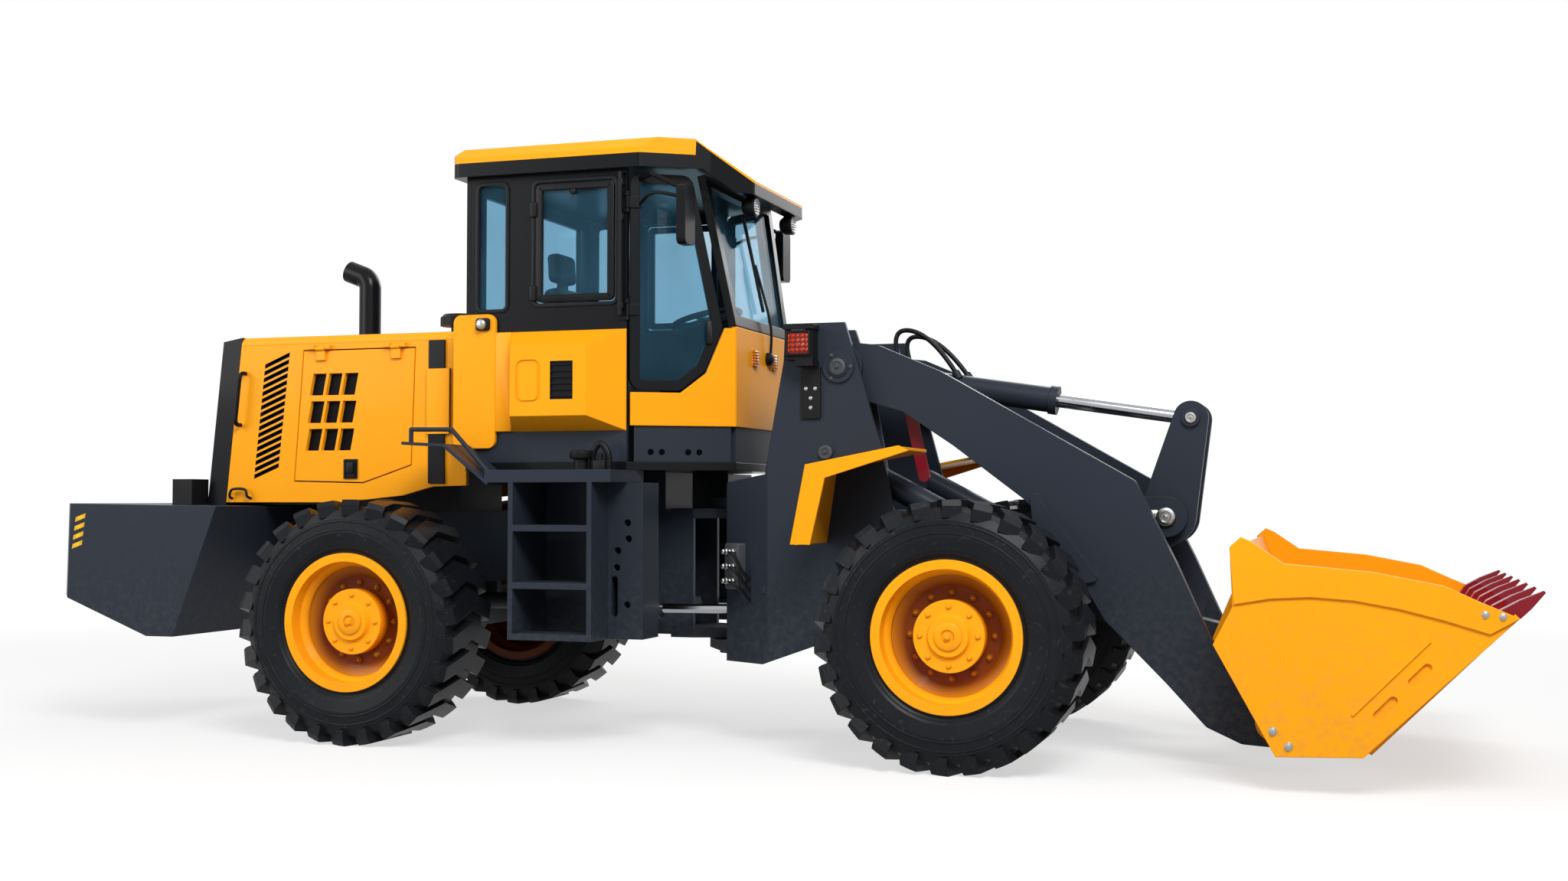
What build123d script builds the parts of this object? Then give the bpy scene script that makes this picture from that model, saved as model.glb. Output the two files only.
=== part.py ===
"""Wheel loader with an articulated frame, a Z-bar lift arm and a toothed bucket.

Millimetres, +X to the front, +Y to the left, +Z up, ground at Z = 0.
The outlines are laid out from the front axle; each piece is moved to the
middle of the machine's length when it is written.
"""
import os
from math import hypot

from build123d import *

# Wheels and axles
TYRE_RADIUS = 590.0
TYRE_WIDTH = 410.0
TREAD_DEPTH = 32.0
LUG_COUNT = 26
LUG_WIDTH = 84.0
LUG_SWEEP = 18.5
LUG_DROP = 78.0
WHEELBASE = 2940.0
HALF_TRACK = 913.0
RIM_RADIUS = 333.0
RIM_WIDTH = 370.0
RIM_SEAT_RADIUS = 305.0
RIM_WALL = 14.0
RIM_WELL_DROP = 25.0
FLANGE_THICK = 14.0
DISC_INNER = 20.0
DISC_OUTER = 42.0
DISC_RING_RADIUS = 215.0
HUB_RADIUS = 158.0
HUB_CAP_RADIUS = 96.0
HUB_CAP_STEP = 18.0
HUB_SET_BACK = 65.0
HUB_FACE_THICK = 40.0
HUB_INNER = -60.0
STUB_RADIUS = 60.0
AXLE_RADIUS = 105.0
AXLE_PAD_HALF = 110.0
DIFFERENTIAL_RADIUS = 185.0
SHAFT_RADIUS = 42.0
SHAFT_HEIGHT = 640.0
REAR_AXLE_X = -WHEELBASE

# Fits
PIN_CLEARANCE = 0.4
FACE_CLEARANCE = 5.0
SEAT_CLEARANCE = 0.3

# Frames
HINGE_X = -1340.0
HINGE_PIN_RADIUS = 55.0
HINGE_HEAD = 24.0
HINGE_HEAD_RADIUS = 80.0
HINGE_END_RADIUS = 130.0
HINGE_PLATE = 50.0
HINGE_TOP = 1190.0
HINGE_FOOT = 430.0
NECK_HALF = 190.0
NECK_END_X = HINGE_X - 160.0
NECK_ROOT_X = HINGE_X - 670.0
RAIL_HALF = 300.0
RAIL_THICK = 30.0
RAIL_TOP = 1120.0
RAIL_FOOT = 760.0
NECK_FOOT = 500.0
TOWER_OUTER = 595.0
TOWER_INNER = 410.0
TOWER_PLATE = 25.0
TOWER_TOP = 2010.0
TILT_WALL_TOP = 1895.0
DECK_TOP = 1130.0
DECK_PLATE = 25.0
FRONT_WALL_X = -1230.0
FRONT_WALL_HALF = 440.0
FRONT_BEND_X = -970.0
NOSE_X = 180.0
NOSE_HALF = 405.0
NOSE_TOP = 880.0

# Lift arm, rocker, link and cylinders, as points in the side view
ARM_PIVOT = (-620.0, 1800.0)
ARM_PIVOT_RADIUS = 125.0
ARM_PIN_RADIUS = 50.0
ARM_INNER = 450.0
ARM_OUTER = 530.0
BUCKET_PIVOT = (1330.0, 215.0)
BUCKET_PIVOT_RADIUS = 112.0
BUCKET_PIN_RADIUS = 45.0
ARM_UPPER_EDGE = [(-450.0, 1905.0), (-150.0, 1775.0), (735.0, 1265.0), (915.0, 900.0), (1060.0, 570.0),
                  (1180.0, 400.0)]
ARM_LOWER_EDGE = [(1190.0, 112.0), (1040.0, 180.0), (870.0, 365.0), (600.0, 640.0), (350.0, 1070.0),
                  (240.0, 1180.0), (-90.0, 1430.0), (-330.0, 1590.0)]
ARM_CORNER_RADIUS = 45.0
CROSS_TUBE = (420.0, 1070.0)
CROSS_TUBE_RADIUS = 100.0
ROCKER_PIVOT = (840.0, 1100.0)
ROCKER_PIN_RADIUS = 45.0
ROCKER_HUB_RADIUS = 130.0
ROCKER_INNER = 85.0
ROCKER_OUTER = 125.0
ROCKER_TOP = (950.0, 1560.0)
ROCKER_TOP_RADIUS = 80.0
ROCKER_FOOT = (355.5, 713.2)
ROCKER_FOOT_RADIUS = 75.0
ROCKER_BRACKET_PLATE = 35.0
ROCKER_BRACKET_GAP = 25.0
LINK_PIN = (1112.0, 526.3)
LINK_PIN_RADIUS = 40.0
LINK_EYE_RADIUS = 65.0
LINK_HALF = 75.0
LIFT_BASE = (-680.0, 1400.0)
LIFT_EYE = (372.0, 850.0)
LIFT_LUG_RADIUS = 70.0
LIFT_LUG_PLATE = 20.0
LIFT_Y = 490.0

# Cylinder sizes: barrel and rod radii, and lengths from the base pin
TILT_BARREL_RADIUS = 62.0
TILT_ROD_RADIUS = 32.0
TILT_BARREL_LENGTH = 945.0
TILT_NECK = 100.0
TILT_TAIL = 720.0
TILT_PIN_RADIUS = 40.0
TILT_EYE_HALF = 50.0
TILT_LUG_PLATE = 30.0
LIFT_BARREL_RADIUS = 58.0
LIFT_ROD_RADIUS = 34.0
LIFT_BARREL_LENGTH = 780.0
LIFT_NECK = 45.0
LIFT_TAIL = 150.0
LIFT_EYE_HALF = 36.0
STEER_BARREL_RADIUS = 42.0
STEER_ROD_RADIUS = 24.0
STEER_BARREL_LENGTH = 640.0
STEER_NECK = 65.0
STEER_TAIL = 340.0
STEER_EYE_HALF = 30.0
STEER_BASE = (HINGE_X - 910.0, 385.0)
STEER_EYE = (-1170.0, 290.0)
STEER_HEIGHT = 640.0
EYE_WALL = 28.0
CYLINDER_WALL = 10.0
GLAND_LENGTH = 40.0
GLAND_STEP = 8.0
PISTON_LENGTH = 60.0
CYLINDER_PIN_RADIUS = 36.0
STEER_PIN_RADIUS = 22.0

# Hoses on the tilt cylinder: y, then start, rise and landing measured along the barrel
HOSE_RADIUS = 12.0
HOSE_BEND = 96.0
HOSE_PORT_RADIUS = 20.0
HOSE_PORT_RISE = 10.0
HOSE_PORT_LENGTH = 40.0
HOSES = [(-40.0, 150.0, 60.0, 280.0, 430.0, 245.0), (40.0, 190.0, 100.0, 320.0, 470.0, 225.0)]

# Bucket
BUCKET_HALF = 1115.0
BUCKET_SIDE_PLATE = 35.0
BUCKET_SHELL = 20.0
BUCKET_PROFILE = [(1200.0, 985.0), (1360.0, 600.0), (1560.0, 265.0), (1720.0, 170.0), (2267.0, 722.0)]
BUCKET_SIDE = [(1355.0, 151.0), (1689.0, 162.0), (2267.0, 722.0), (2131.0, 780.0), (1995.0, 843.0),
               (1728.0, 894.0), (1395.0, 923.0), (1270.0, 1010.0), (1228.0, 1028.0), (1184.0, 988.0),
               (1193.0, 746.0), (1115.0, 593.0)]
BUCKET_BAND_EDGE = [(1200.0, 757.0), (1340.0, 782.0), (1495.0, 791.0), (1660.0, 780.0), (1830.0, 750.0),
                    (1995.0, 708.0), (2159.0, 659.0)]
BUCKET_BAND = 10.0
BUCKET_SLOTS = [((1744.0, 330.0), (1802.0, 390.0)), ((1875.0, 465.0), (1930.0, 522.0))]
BUCKET_SLOT_RADIUS = 17.0
BUCKET_SLOT_DEPTH = 12.0
EAR_PLATE = 35.0
LUG_PLATE = 30.0
TOOTH_COUNT = 7
TOOTH_EDGE = 65.0
TOOTH_WIDTH = 75.0
TOOTH_REACH = 140.0
TOOTH_HEEL = 120.0
TOOTH_HEIGHT = 45.0

# Hood foot, and the counterweight under it
HOOD_FOOT = 1165.0
WEIGHT_HALF = 1000.0
WEIGHT_SIDE = [(REAR_AXLE_X - 1724.0, HOOD_FOOT - 5.0), (REAR_AXLE_X - 802.0, HOOD_FOOT - 19.0),
               (REAR_AXLE_X - 1052.0, 489.0), (REAR_AXLE_X - 1210.0, 489.0), (REAR_AXLE_X - 1736.0, 690.0)]
WEIGHT_CHAMFER = 40.0
TOW_NOTCH_HALF = 110.0
TOW_NOTCH_DEPTH = 240.0
TOW_NOTCH_FOOT = 830.0
TOW_NOTCH_TOP = 950.0
TOW_PIN_RADIUS = 25.0
TOW_PIN_SET_IN = 110.0
TOW_PIN_FOOT = 700.0

# Cab
CAB_REAR_X = -2500.0
CAB_POST_X = -1640.0
CAB_FRONT_X = -1190.0
CAB_HALF = 720.0
CAB_FRONT_HALF = 420.0
CAB_FLOOR = 1320.0
CAB_FLOOR_PLATE = 40.0
CAB_WALL_FOOT = CAB_FLOOR + CAB_FLOOR_PLATE
CAB_BASE_TOP = 1535.0
CAB_BASE_HOLE = 15.0
CAB_WALL = 25.0
CAB_SILL = 2030.0
ROOF_TOP = 2915.0
ROOF_THICK = 145.0
CAB_TOP = ROOF_TOP - ROOF_THICK
ROOF_OVERHANG = 50.0
VISOR_TIP_X = -1105.0
VISOR_TIP_DROP = 180.0
VISOR_TIP_THICK = 63.0
VISOR_TIP_TOP = ROOF_TOP - VISOR_TIP_DROP
VISOR_TIP_FOOT = VISOR_TIP_TOP - VISOR_TIP_THICK
VISOR_HALF = 400.0
SCREEN_TOP_X = -1323.0
SCREEN_TOP_HALF = 508.0
SCREEN_FRAME = 55.0
SCREEN_THICK = 40.0
DOOR_FRAME = 48.0
DOOR_THICK = 30.0
DOOR_EDGE = 16.0
DOOR_FOOT = 1705.0
DOOR_TOP = CAB_TOP - 18.0
DOOR_CORNER_RADIUS = 60.0
GLASS_THICK = 6.0
REAR_WINDOW_BORDER = 160.0
REAR_WINDOW_FOOT = 2085.0
REAR_WINDOW_TOP = CAB_TOP - 70.0
SIDE_WINDOW_TOP = CAB_TOP - 35.0
SIDE_WINDOWS = [(-2440.0, -2275.0, 2105.0, SIDE_WINDOW_TOP), (-2135.0, -1690.0, 2125.0, SIDE_WINDOW_TOP)]
MIRROR_ARM_RADIUS = 11.0

# Cab door hinges: pin beside the post, and the heights of the knuckles
CAB_HINGE_SIDE = 2.0
CAB_HINGE_OUT = 10.0
CAB_HINGE_PIN = 5.0
CAB_HINGE_KNUCKLE = 8.0
CAB_HINGE_BLOCK = 20.0
CAB_HINGE_GAP = 3.0
CAB_HINGE_LENGTH = 100.0
CAB_HINGE_FEET = [2040.0, DOOR_TOP - 192.0]

# Hood
HOOD_HALF = 600.0
HOOD_PANEL = 25.0
HOOD_TOP = 2030.0
HOOD_SIDE_TOP = 1985.0
HOOD_FRONT_X = CAB_REAR_X - 60.0
HOOD_REAR_TOP_X = REAR_AXLE_X - 945.0
HOOD_REAR_FOOT_X = REAR_AXLE_X - 1030.0
HOOD_EDGE_RADIUS = 36.0
GRILLE_DEPTH = 115.0
GRILLE_BORDER = 90.0
GRILLE_PANEL = 40.0
SLAT_COUNT = 9
SLAT_THICK = 14.0
SLAT_DEPTH = 34.0
SLAT_ROOT = 10.0
DOOR_REAR_TOP_X = REAR_AXLE_X - 570.0
DOOR_REAR_FOOT_X = REAR_AXLE_X - 620.0
DOOR_FRONT_TOP_X = HOOD_FRONT_X - 290.0
DOOR_FRONT_FOOT_X = HOOD_FRONT_X - 310.0
DOOR_KNEE_SHARE = 0.594
DOOR_KNEE_X = DOOR_REAR_FOOT_X + DOOR_KNEE_SHARE * (DOOR_FRONT_FOOT_X - DOOR_REAR_FOOT_X)
ENGINE_DOOR_TOP = 1955.0
ENGINE_DOOR = [(DOOR_REAR_TOP_X, ENGINE_DOOR_TOP), (DOOR_REAR_FOOT_X, HOOD_FOOT + 107.0),
               (DOOR_KNEE_X, HOOD_FOOT + 97.0), (DOOR_FRONT_FOOT_X, HOOD_FOOT + 187.0),
               (DOOR_FRONT_TOP_X, ENGINE_DOOR_TOP)]
DOOR_GAP = 6.0
DOOR_VENT_COLUMNS = 3
DOOR_VENT_ROWS = 3
DOOR_VENT_WIDTH = 78.0
DOOR_VENT_HEIGHT = 112.0
DOOR_VENT_PITCH_X = 94.0
DOOR_VENT_PITCH_Z = 143.0
DOOR_VENT_LEAN = 22.0
DOOR_VENT_SET_IN = 62.0
DOOR_VENT_DROP = 125.0
LATCH_WIDTH = 78.0
LATCH_HEIGHT = 100.0
LATCH_PROUD = 8.0
LATCH_RISE = 25.0
LATCH_SET_IN = 300.0
VENT_STRIP_COUNT = 17
VENT_STRIP_PITCH = 36.0
VENT_STRIP_SLOT = 17.0
VENT_STRIP_WIDTH = 145.0
VENT_STRIP_LEAN = 60.0
VENT_STRIP_FOOT = 1290.0
VENT_STRIP_SET_IN = 158.0
GRAB_RADIUS = 11.0
GRAB_SET_IN = 45.0
GRAB_FOOT = 1570.0
GRAB_TOP = 1840.0
GRAB_REACH = 55.0
HOOD_HINGE_PIN = 6.0
HOOD_HINGE_KNUCKLE = 11.0
HOOD_HINGE_OUT = 14.0
HOOD_HINGE_RISE = 3.0
HOOD_HINGE_HALF = 60.0
HOOD_HINGE_LEAF = 27.0
HOOD_HINGE_SET_IN = 110.0
TRIM_REAR = 210.0
TRIM_FRONT = 120.0
TRIM_THICK = 12.0
TRIM_COVER_FOOT = 1510.0
TRIM_COVER_TOP = 1840.0
EXHAUST_X = REAR_AXLE_X - 470.0
EXHAUST_Y = -120.0
EXHAUST_RADIUS = 58.0
EXHAUST_WALL = 8.0
EXHAUST_COLLAR = 14.0
PRECLEANER_X = HOOD_FRONT_X - 160.0
PRECLEANER_Y = -380.0
PRECLEANER_RADIUS = 100.0
ENGINE_HALF = 235.0
ENGINE_FOOT = 830.0
ENGINE_TOP = 1800.0
ENGINE_REAR_X = REAR_AXLE_X - 700.0
ENGINE_FRONT_X = HOOD_FRONT_X - 230.0

# Steps, mudguards and side boxes
PLATFORM_FOOT = 1260.0
STEP_OUTER = 1000.0
STEP_REAR_X = REAR_AXLE_X + TYRE_RADIUS + 225.0
STEP_LENGTH = 430.0
STEP_FRONT_X = STEP_REAR_X + STEP_LENGTH
STEP_PLATE = 25.0
STEP_FOOT = 520.0
STEP_TREAD_INNER = 740.0
STEP_TREAD_THICK = 30.0
STEP_HEIGHTS = [1060.0, 790.0, 550.0]
STEP_WALL_INNER = 605.0
HOLE_PLATE_OUTER = 800.0
HOLE_PLATE_LENGTH = 175.0
HOLE_PLATE_HOLES = [(96.0, 1069.0), (101.0, 993.0), (46.0, 937.0), (42.0, 857.0), (95.0, 682.0)]
HOLE_RADIUS = 17.0
BOX_DEPTH = 130.0
BOX_OUTER = CAB_HALF + BOX_DEPTH
BOX_VENT = (-1980.0, -1865.0, 1660.0, 1840.0)
BOX_VENT_DEPTH = 10.0
BOX_LOUVRE_COUNT = 6
BOX_GROOVE = (-2165.0, -2035.0, 1640.0, 1850.0)
BOX_GROOVE_WIDTH = 14.0
BOX_GROOVE_DEPTH = 6.0
MUDGUARD_INNER = 745.0
MUDGUARD_THICK = 15.0
GUARD_RAIL_RADIUS = 11.0


def box(x_low, x_high, y_low, y_high, z_low, z_high):
    """Block between two corners."""
    middle = ((x_low + x_high) / 2, (y_low + y_high) / 2, (z_low + z_high) / 2)
    return Pos(*middle) * Box(x_high - x_low, y_high - y_low, z_high - z_low)


def outline(points):
    """Flat face with straight edges through the points."""
    return make_face(Polyline(*points, close=True))


def side_plate(face, y_low, y_high):
    """Plate cut to a face drawn in the side view, between two y values."""
    return extrude(Plane.XZ.offset(-y_high) * face, amount=y_high - y_low)


def plan_plate(face, z_low, z_high):
    """Plate cut to a face drawn in plan, between two heights."""
    return extrude(Plane.XY.offset(z_low) * face, amount=z_high - z_low)


def cross_plate(face, x_low, x_high):
    """Plate cut to a face drawn from behind, between two x values."""
    return extrude(Plane.YZ.offset(x_low) * face, amount=x_high - x_low)


def tapered_plate(circles):
    """Face with a round end on each centre and radius, and straight edges between."""
    rings = [Pos(x, z) * Circle(radius) for x, z, radius in circles]
    return make_hull([edge for ring in rings for edge in ring.edges()])


def cross_pin(point, radius, y_low, y_high):
    """Round pin across the machine at a point of the side view."""
    start = Plane(origin=(point[0], y_low, point[1]), x_dir=(1, 0, 0), z_dir=(0, 1, 0))
    return start * Cylinder(radius, y_high - y_low, align=(Align.CENTER, Align.CENTER, Align.MIN))


def upright_pin(x, y, radius, z_low, z_high):
    """Round pin standing at a point of the plan."""
    return Pos(x, y, z_low) * Cylinder(radius, z_high - z_low, align=(Align.CENTER, Align.CENTER, Align.MIN))


def bar(start, end, radius):
    """Round bar between two points."""
    run = Vector(*end) - Vector(*start)
    plane = Plane(origin=start, z_dir=run)
    return plane * Cylinder(radius, run.length, align=(Align.CENTER, Align.CENTER, Align.MIN))


def pair(shape):
    """The piece and its mirror image on the other side."""
    return shape + mirror(shape, about=Plane.XZ)


def shifted_line(points, distance):
    """The open line moved to its left by a distance, with sharp corners."""
    moved = []
    for index, (x, z) in enumerate(points):
        before = points[max(index - 1, 0)]
        after = points[min(index + 1, len(points) - 1)]
        normals = []
        for first, second in ((before, (x, z)), ((x, z), after)):
            length = hypot(second[0] - first[0], second[1] - first[1])
            if length > 0:
                normals.append((-(second[1] - first[1]) / length, (second[0] - first[0]) / length))
        nx = sum(normal[0] for normal in normals) / len(normals)
        nz = sum(normal[1] for normal in normals) / len(normals)
        scale = distance / (nx * nx + nz * nz)
        moved.append((x + nx * scale, z + nz * scale))
    return moved


def weight_face_x(z):
    """X of the counterweight's sloped front face at a height."""
    top, foot = WEIGHT_SIDE[1], WEIGHT_SIDE[2]
    return top[0] + (top[1] - z) / (top[1] - foot[1]) * (foot[0] - top[0])


def weight_top_z(x):
    """Height of the counterweight's top face at an x value."""
    rear, front = WEIGHT_SIDE[0], WEIGHT_SIDE[1]
    return rear[1] + (x - rear[0]) / (front[0] - rear[0]) * (front[1] - rear[1])


def hood_rear_x(z):
    """X of the hood's sloped rear edge at a height."""
    share = (HOOD_SIDE_TOP - z) / (HOOD_SIDE_TOP - HOOD_FOOT)
    return HOOD_REAR_TOP_X + share * (HOOD_REAR_FOOT_X - HOOD_REAR_TOP_X)


def lug_face():
    """Section of half a tread lug, from past the middle of the tyre to its shoulder."""
    outer = TYRE_WIDTH / 2 - 2
    tread = TYRE_RADIUS - TREAD_DEPTH
    return outline([(-14, tread - 15), (-14, TYRE_RADIUS + 10), (outer - 20, TYRE_RADIUS + 10),
                    (outer, TYRE_RADIUS - 26), (outer, TYRE_RADIUS - LUG_DROP), (outer - 55, tread - 40)])


def make_tyre():
    """Tyre about the Y axis: a hollow carcass with a ring of chevron lugs."""
    tyre_half = TYRE_WIDTH / 2
    bead = RIM_WIDTH / 2 - FLANGE_THICK
    seat = RIM_SEAT_RADIUS + SEAT_CLEARANCE
    tread = TYRE_RADIUS - TREAD_DEPTH
    right = [(seat, bead - 45), (seat, bead), (RIM_RADIUS + 10, bead), (RIM_RADIUS + 40, tyre_half - 12),
             (RIM_RADIUS + 97, tyre_half), (tread - 58, tyre_half - 4), (tread - 18, tyre_half - 27),
             (tread, tyre_half - 65)]
    inside = [(tread - 38, 120), (tread - 38, -120)]
    left = [(radius, -side) for radius, side in reversed(right)]
    carcass = revolve(outline(right + left + list(reversed(inside))), axis=Axis.Y)
    plate = cross_plate(lug_face(), -LUG_WIDTH / 2, LUG_WIDTH / 2)
    middle = Rot(0, 0, -LUG_SWEEP) * Pos(0, TYRE_WIDTH / 4, 0)
    half = Pos(-middle.position.X, 0, 0) * Rot(0, 0, -LUG_SWEEP) * plate
    half = half & cross_pin((0, 0), TYRE_RADIUS, -TYRE_WIDTH, TYRE_WIDTH)
    chevron = [half, mirror(half, about=Plane.XZ)]
    lugs = [Rot(0, index * 360 / LUG_COUNT, 0) * lug for index in range(LUG_COUNT) for lug in chevron]
    return carcass + lugs


def make_rim():
    """Rim about the Y axis with its disc, hub and cap; the outer face is towards +Y."""
    half = RIM_WIDTH / 2
    bead = half - FLANGE_THICK
    face = half - HUB_SET_BACK
    bore = STUB_RADIUS + PIN_CLEARANCE
    seat = RIM_SEAT_RADIUS
    well = seat - RIM_WELL_DROP
    section = [(bore, HUB_INNER), (HUB_RADIUS, HUB_INNER), (HUB_RADIUS, DISC_INNER), (DISC_RING_RADIUS, DISC_INNER),
               (well - RIM_WALL, DISC_INNER + 25), (well - RIM_WALL, -70), (seat - RIM_WALL, -100),
               (seat - RIM_WALL, -half), (RIM_RADIUS, -half), (RIM_RADIUS, -bead), (seat, -bead), (seat, -100),
               (well, -70), (well, 80), (seat, 110), (seat, bead), (RIM_RADIUS, bead), (RIM_RADIUS, half),
               (seat - RIM_WALL, half), (seat - RIM_WALL, 115), (well - RIM_WALL, 85),
               (well - RIM_WALL, DISC_OUTER + 23), (DISC_RING_RADIUS, DISC_OUTER), (HUB_RADIUS, DISC_OUTER),
               (HUB_RADIUS, face), (HUB_CAP_RADIUS, face), (HUB_CAP_RADIUS - 8, face + HUB_CAP_STEP),
               (0, face + HUB_CAP_STEP), (0, face - HUB_FACE_THICK), (bore, face - HUB_FACE_THICK)]
    return revolve(outline(section), axis=Axis.Y)


def wheel_nodes():
    """The four wheels, each a tyre on a rim."""
    tyre, rim = make_tyre(), make_rim()
    nodes = {}
    for end, x in (("front", 0.0), ("rear", REAR_AXLE_X)):
        for side, turn in (("left", 0), ("right", 180)):
            place = Pos(x, HALF_TRACK if side == "left" else -HALF_TRACK, TYRE_RADIUS)
            nodes[f"tyre_{end}_{side}"] = place * tyre
            nodes[f"rim_{end}_{side}"] = place * Rot(0, 0, turn) * rim
    return nodes


def make_axle(x, pad_low, pad_high, pad_top, shaft_end_x):
    """Axle with its differential, wheel stubs, frame pads and drive shaft."""
    arm_end = HALF_TRACK + HUB_INNER - FACE_CLEARANCE
    stub_end = HALF_TRACK + RIM_WIDTH / 2 - HUB_SET_BACK - HUB_FACE_THICK - FACE_CLEARANCE
    centre = (x, TYRE_RADIUS)
    axle = cross_pin(centre, AXLE_RADIUS, -arm_end, arm_end)
    axle += cross_pin(centre, STUB_RADIUS, -stub_end, stub_end)
    axle += Pos(x, 0, TYRE_RADIUS) * Sphere(DIFFERENTIAL_RADIUS)
    axle += pair(box(x - AXLE_PAD_HALF, x + AXLE_PAD_HALF, pad_low, pad_high, TYRE_RADIUS, pad_top))
    axle += bar((x, 0, SHAFT_HEIGHT), (shaft_end_x, 0, SHAFT_HEIGHT), SHAFT_RADIUS)
    return axle


def make_rear_chassis():
    """Rear frame: two rails, a narrow neck and the rear half of the hinge."""
    slope_rear = max(NECK_ROOT_X - 330, REAR_AXLE_X + AXLE_PAD_HALF + 20)
    rail = outline([(NECK_ROOT_X, RAIL_TOP), (NECK_ROOT_X, NECK_FOOT), (slope_rear + 150, NECK_FOOT),
                    (slope_rear, RAIL_FOOT), (weight_face_x(RAIL_FOOT) + SEAT_CLEARANCE, RAIL_FOOT),
                    (weight_face_x(RAIL_TOP) + SEAT_CLEARANCE, RAIL_TOP)])
    frame = pair(side_plate(rail, RAIL_HALF - RAIL_THICK, RAIL_HALF))
    root = NECK_ROOT_X - RAIL_THICK
    frame += box(root, NECK_ROOT_X, -RAIL_HALF, RAIL_HALF, 720, RAIL_TOP)
    frame += pair(box(root, NECK_END_X, NECK_HALF - RAIL_THICK, NECK_HALF, NECK_FOOT, RAIL_TOP))
    frame += pair(box(root, NECK_ROOT_X, NECK_HALF - RAIL_THICK, RAIL_HALF, NECK_FOOT, RAIL_TOP))
    frame += box(NECK_ROOT_X - 60, NECK_END_X, -NECK_HALF, NECK_HALF, RAIL_TOP - RAIL_THICK, RAIL_TOP)
    for x in (ENGINE_REAR_X - 70, ENGINE_FRONT_X + 90):
        frame += box(x - 40, x + 40, -RAIL_HALF, RAIL_HALF, RAIL_TOP - 60, RAIL_TOP)
    ear = make_hull([edge for face in (Pos(HINGE_X, 0) * Circle(HINGE_END_RADIUS),
                                       Pos(NECK_END_X - 60, 0) * Rectangle(120, 2 * NECK_HALF))
                     for edge in face.edges()])
    top = HINGE_TOP - HINGE_PLATE - FACE_CLEARANCE
    foot = HINGE_FOOT + HINGE_PLATE + FACE_CLEARANCE
    head_foot = HINGE_TOP + FACE_CLEARANCE
    heel_top = HINGE_FOOT - FACE_CLEARANCE
    frame += plan_plate(ear, top - HINGE_PLATE, top)
    frame += plan_plate(ear, foot, foot + HINGE_PLATE)
    frame += upright_pin(HINGE_X, 0, HINGE_PIN_RADIUS, top - HINGE_PLATE, head_foot + HINGE_HEAD)
    frame += upright_pin(HINGE_X, 0, HINGE_HEAD_RADIUS, head_foot, head_foot + HINGE_HEAD)
    frame += upright_pin(HINGE_X, 0, HINGE_PIN_RADIUS, heel_top - HINGE_HEAD, foot + HINGE_PLATE)
    frame += upright_pin(HINGE_X, 0, HINGE_HEAD_RADIUS, heel_top - HINGE_HEAD, heel_top)
    # Stands under the cab
    frame += box(CAB_REAR_X + 60, CAB_REAR_X + 200, -RAIL_HALF, RAIL_HALF, RAIL_TOP, CAB_FLOOR)
    frame += box(CAB_POST_X - 160, CAB_POST_X - 10, -NECK_HALF, NECK_HALF, RAIL_TOP, CAB_FLOOR)
    # Steering cylinder brackets
    x, y = STEER_BASE
    lug = tapered_plate([(x, y, 48), (x - 70, RAIL_HALF - 10, 45), (x, RAIL_HALF - 10, 45)])
    lug -= Pos(x, 0) * Rectangle(400, 2 * (RAIL_HALF - RAIL_THICK))
    gap = STEER_EYE_HALF + 2
    bracket = plan_plate(lug, STEER_HEIGHT + gap, STEER_HEIGHT + gap + 25)
    bracket += plan_plate(lug, STEER_HEIGHT - gap - 25, STEER_HEIGHT - gap)
    bracket += upright_pin(x, y, STEER_PIN_RADIUS, STEER_HEIGHT - gap - 30, STEER_HEIGHT + gap + 30)
    return frame + pair(bracket)


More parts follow.
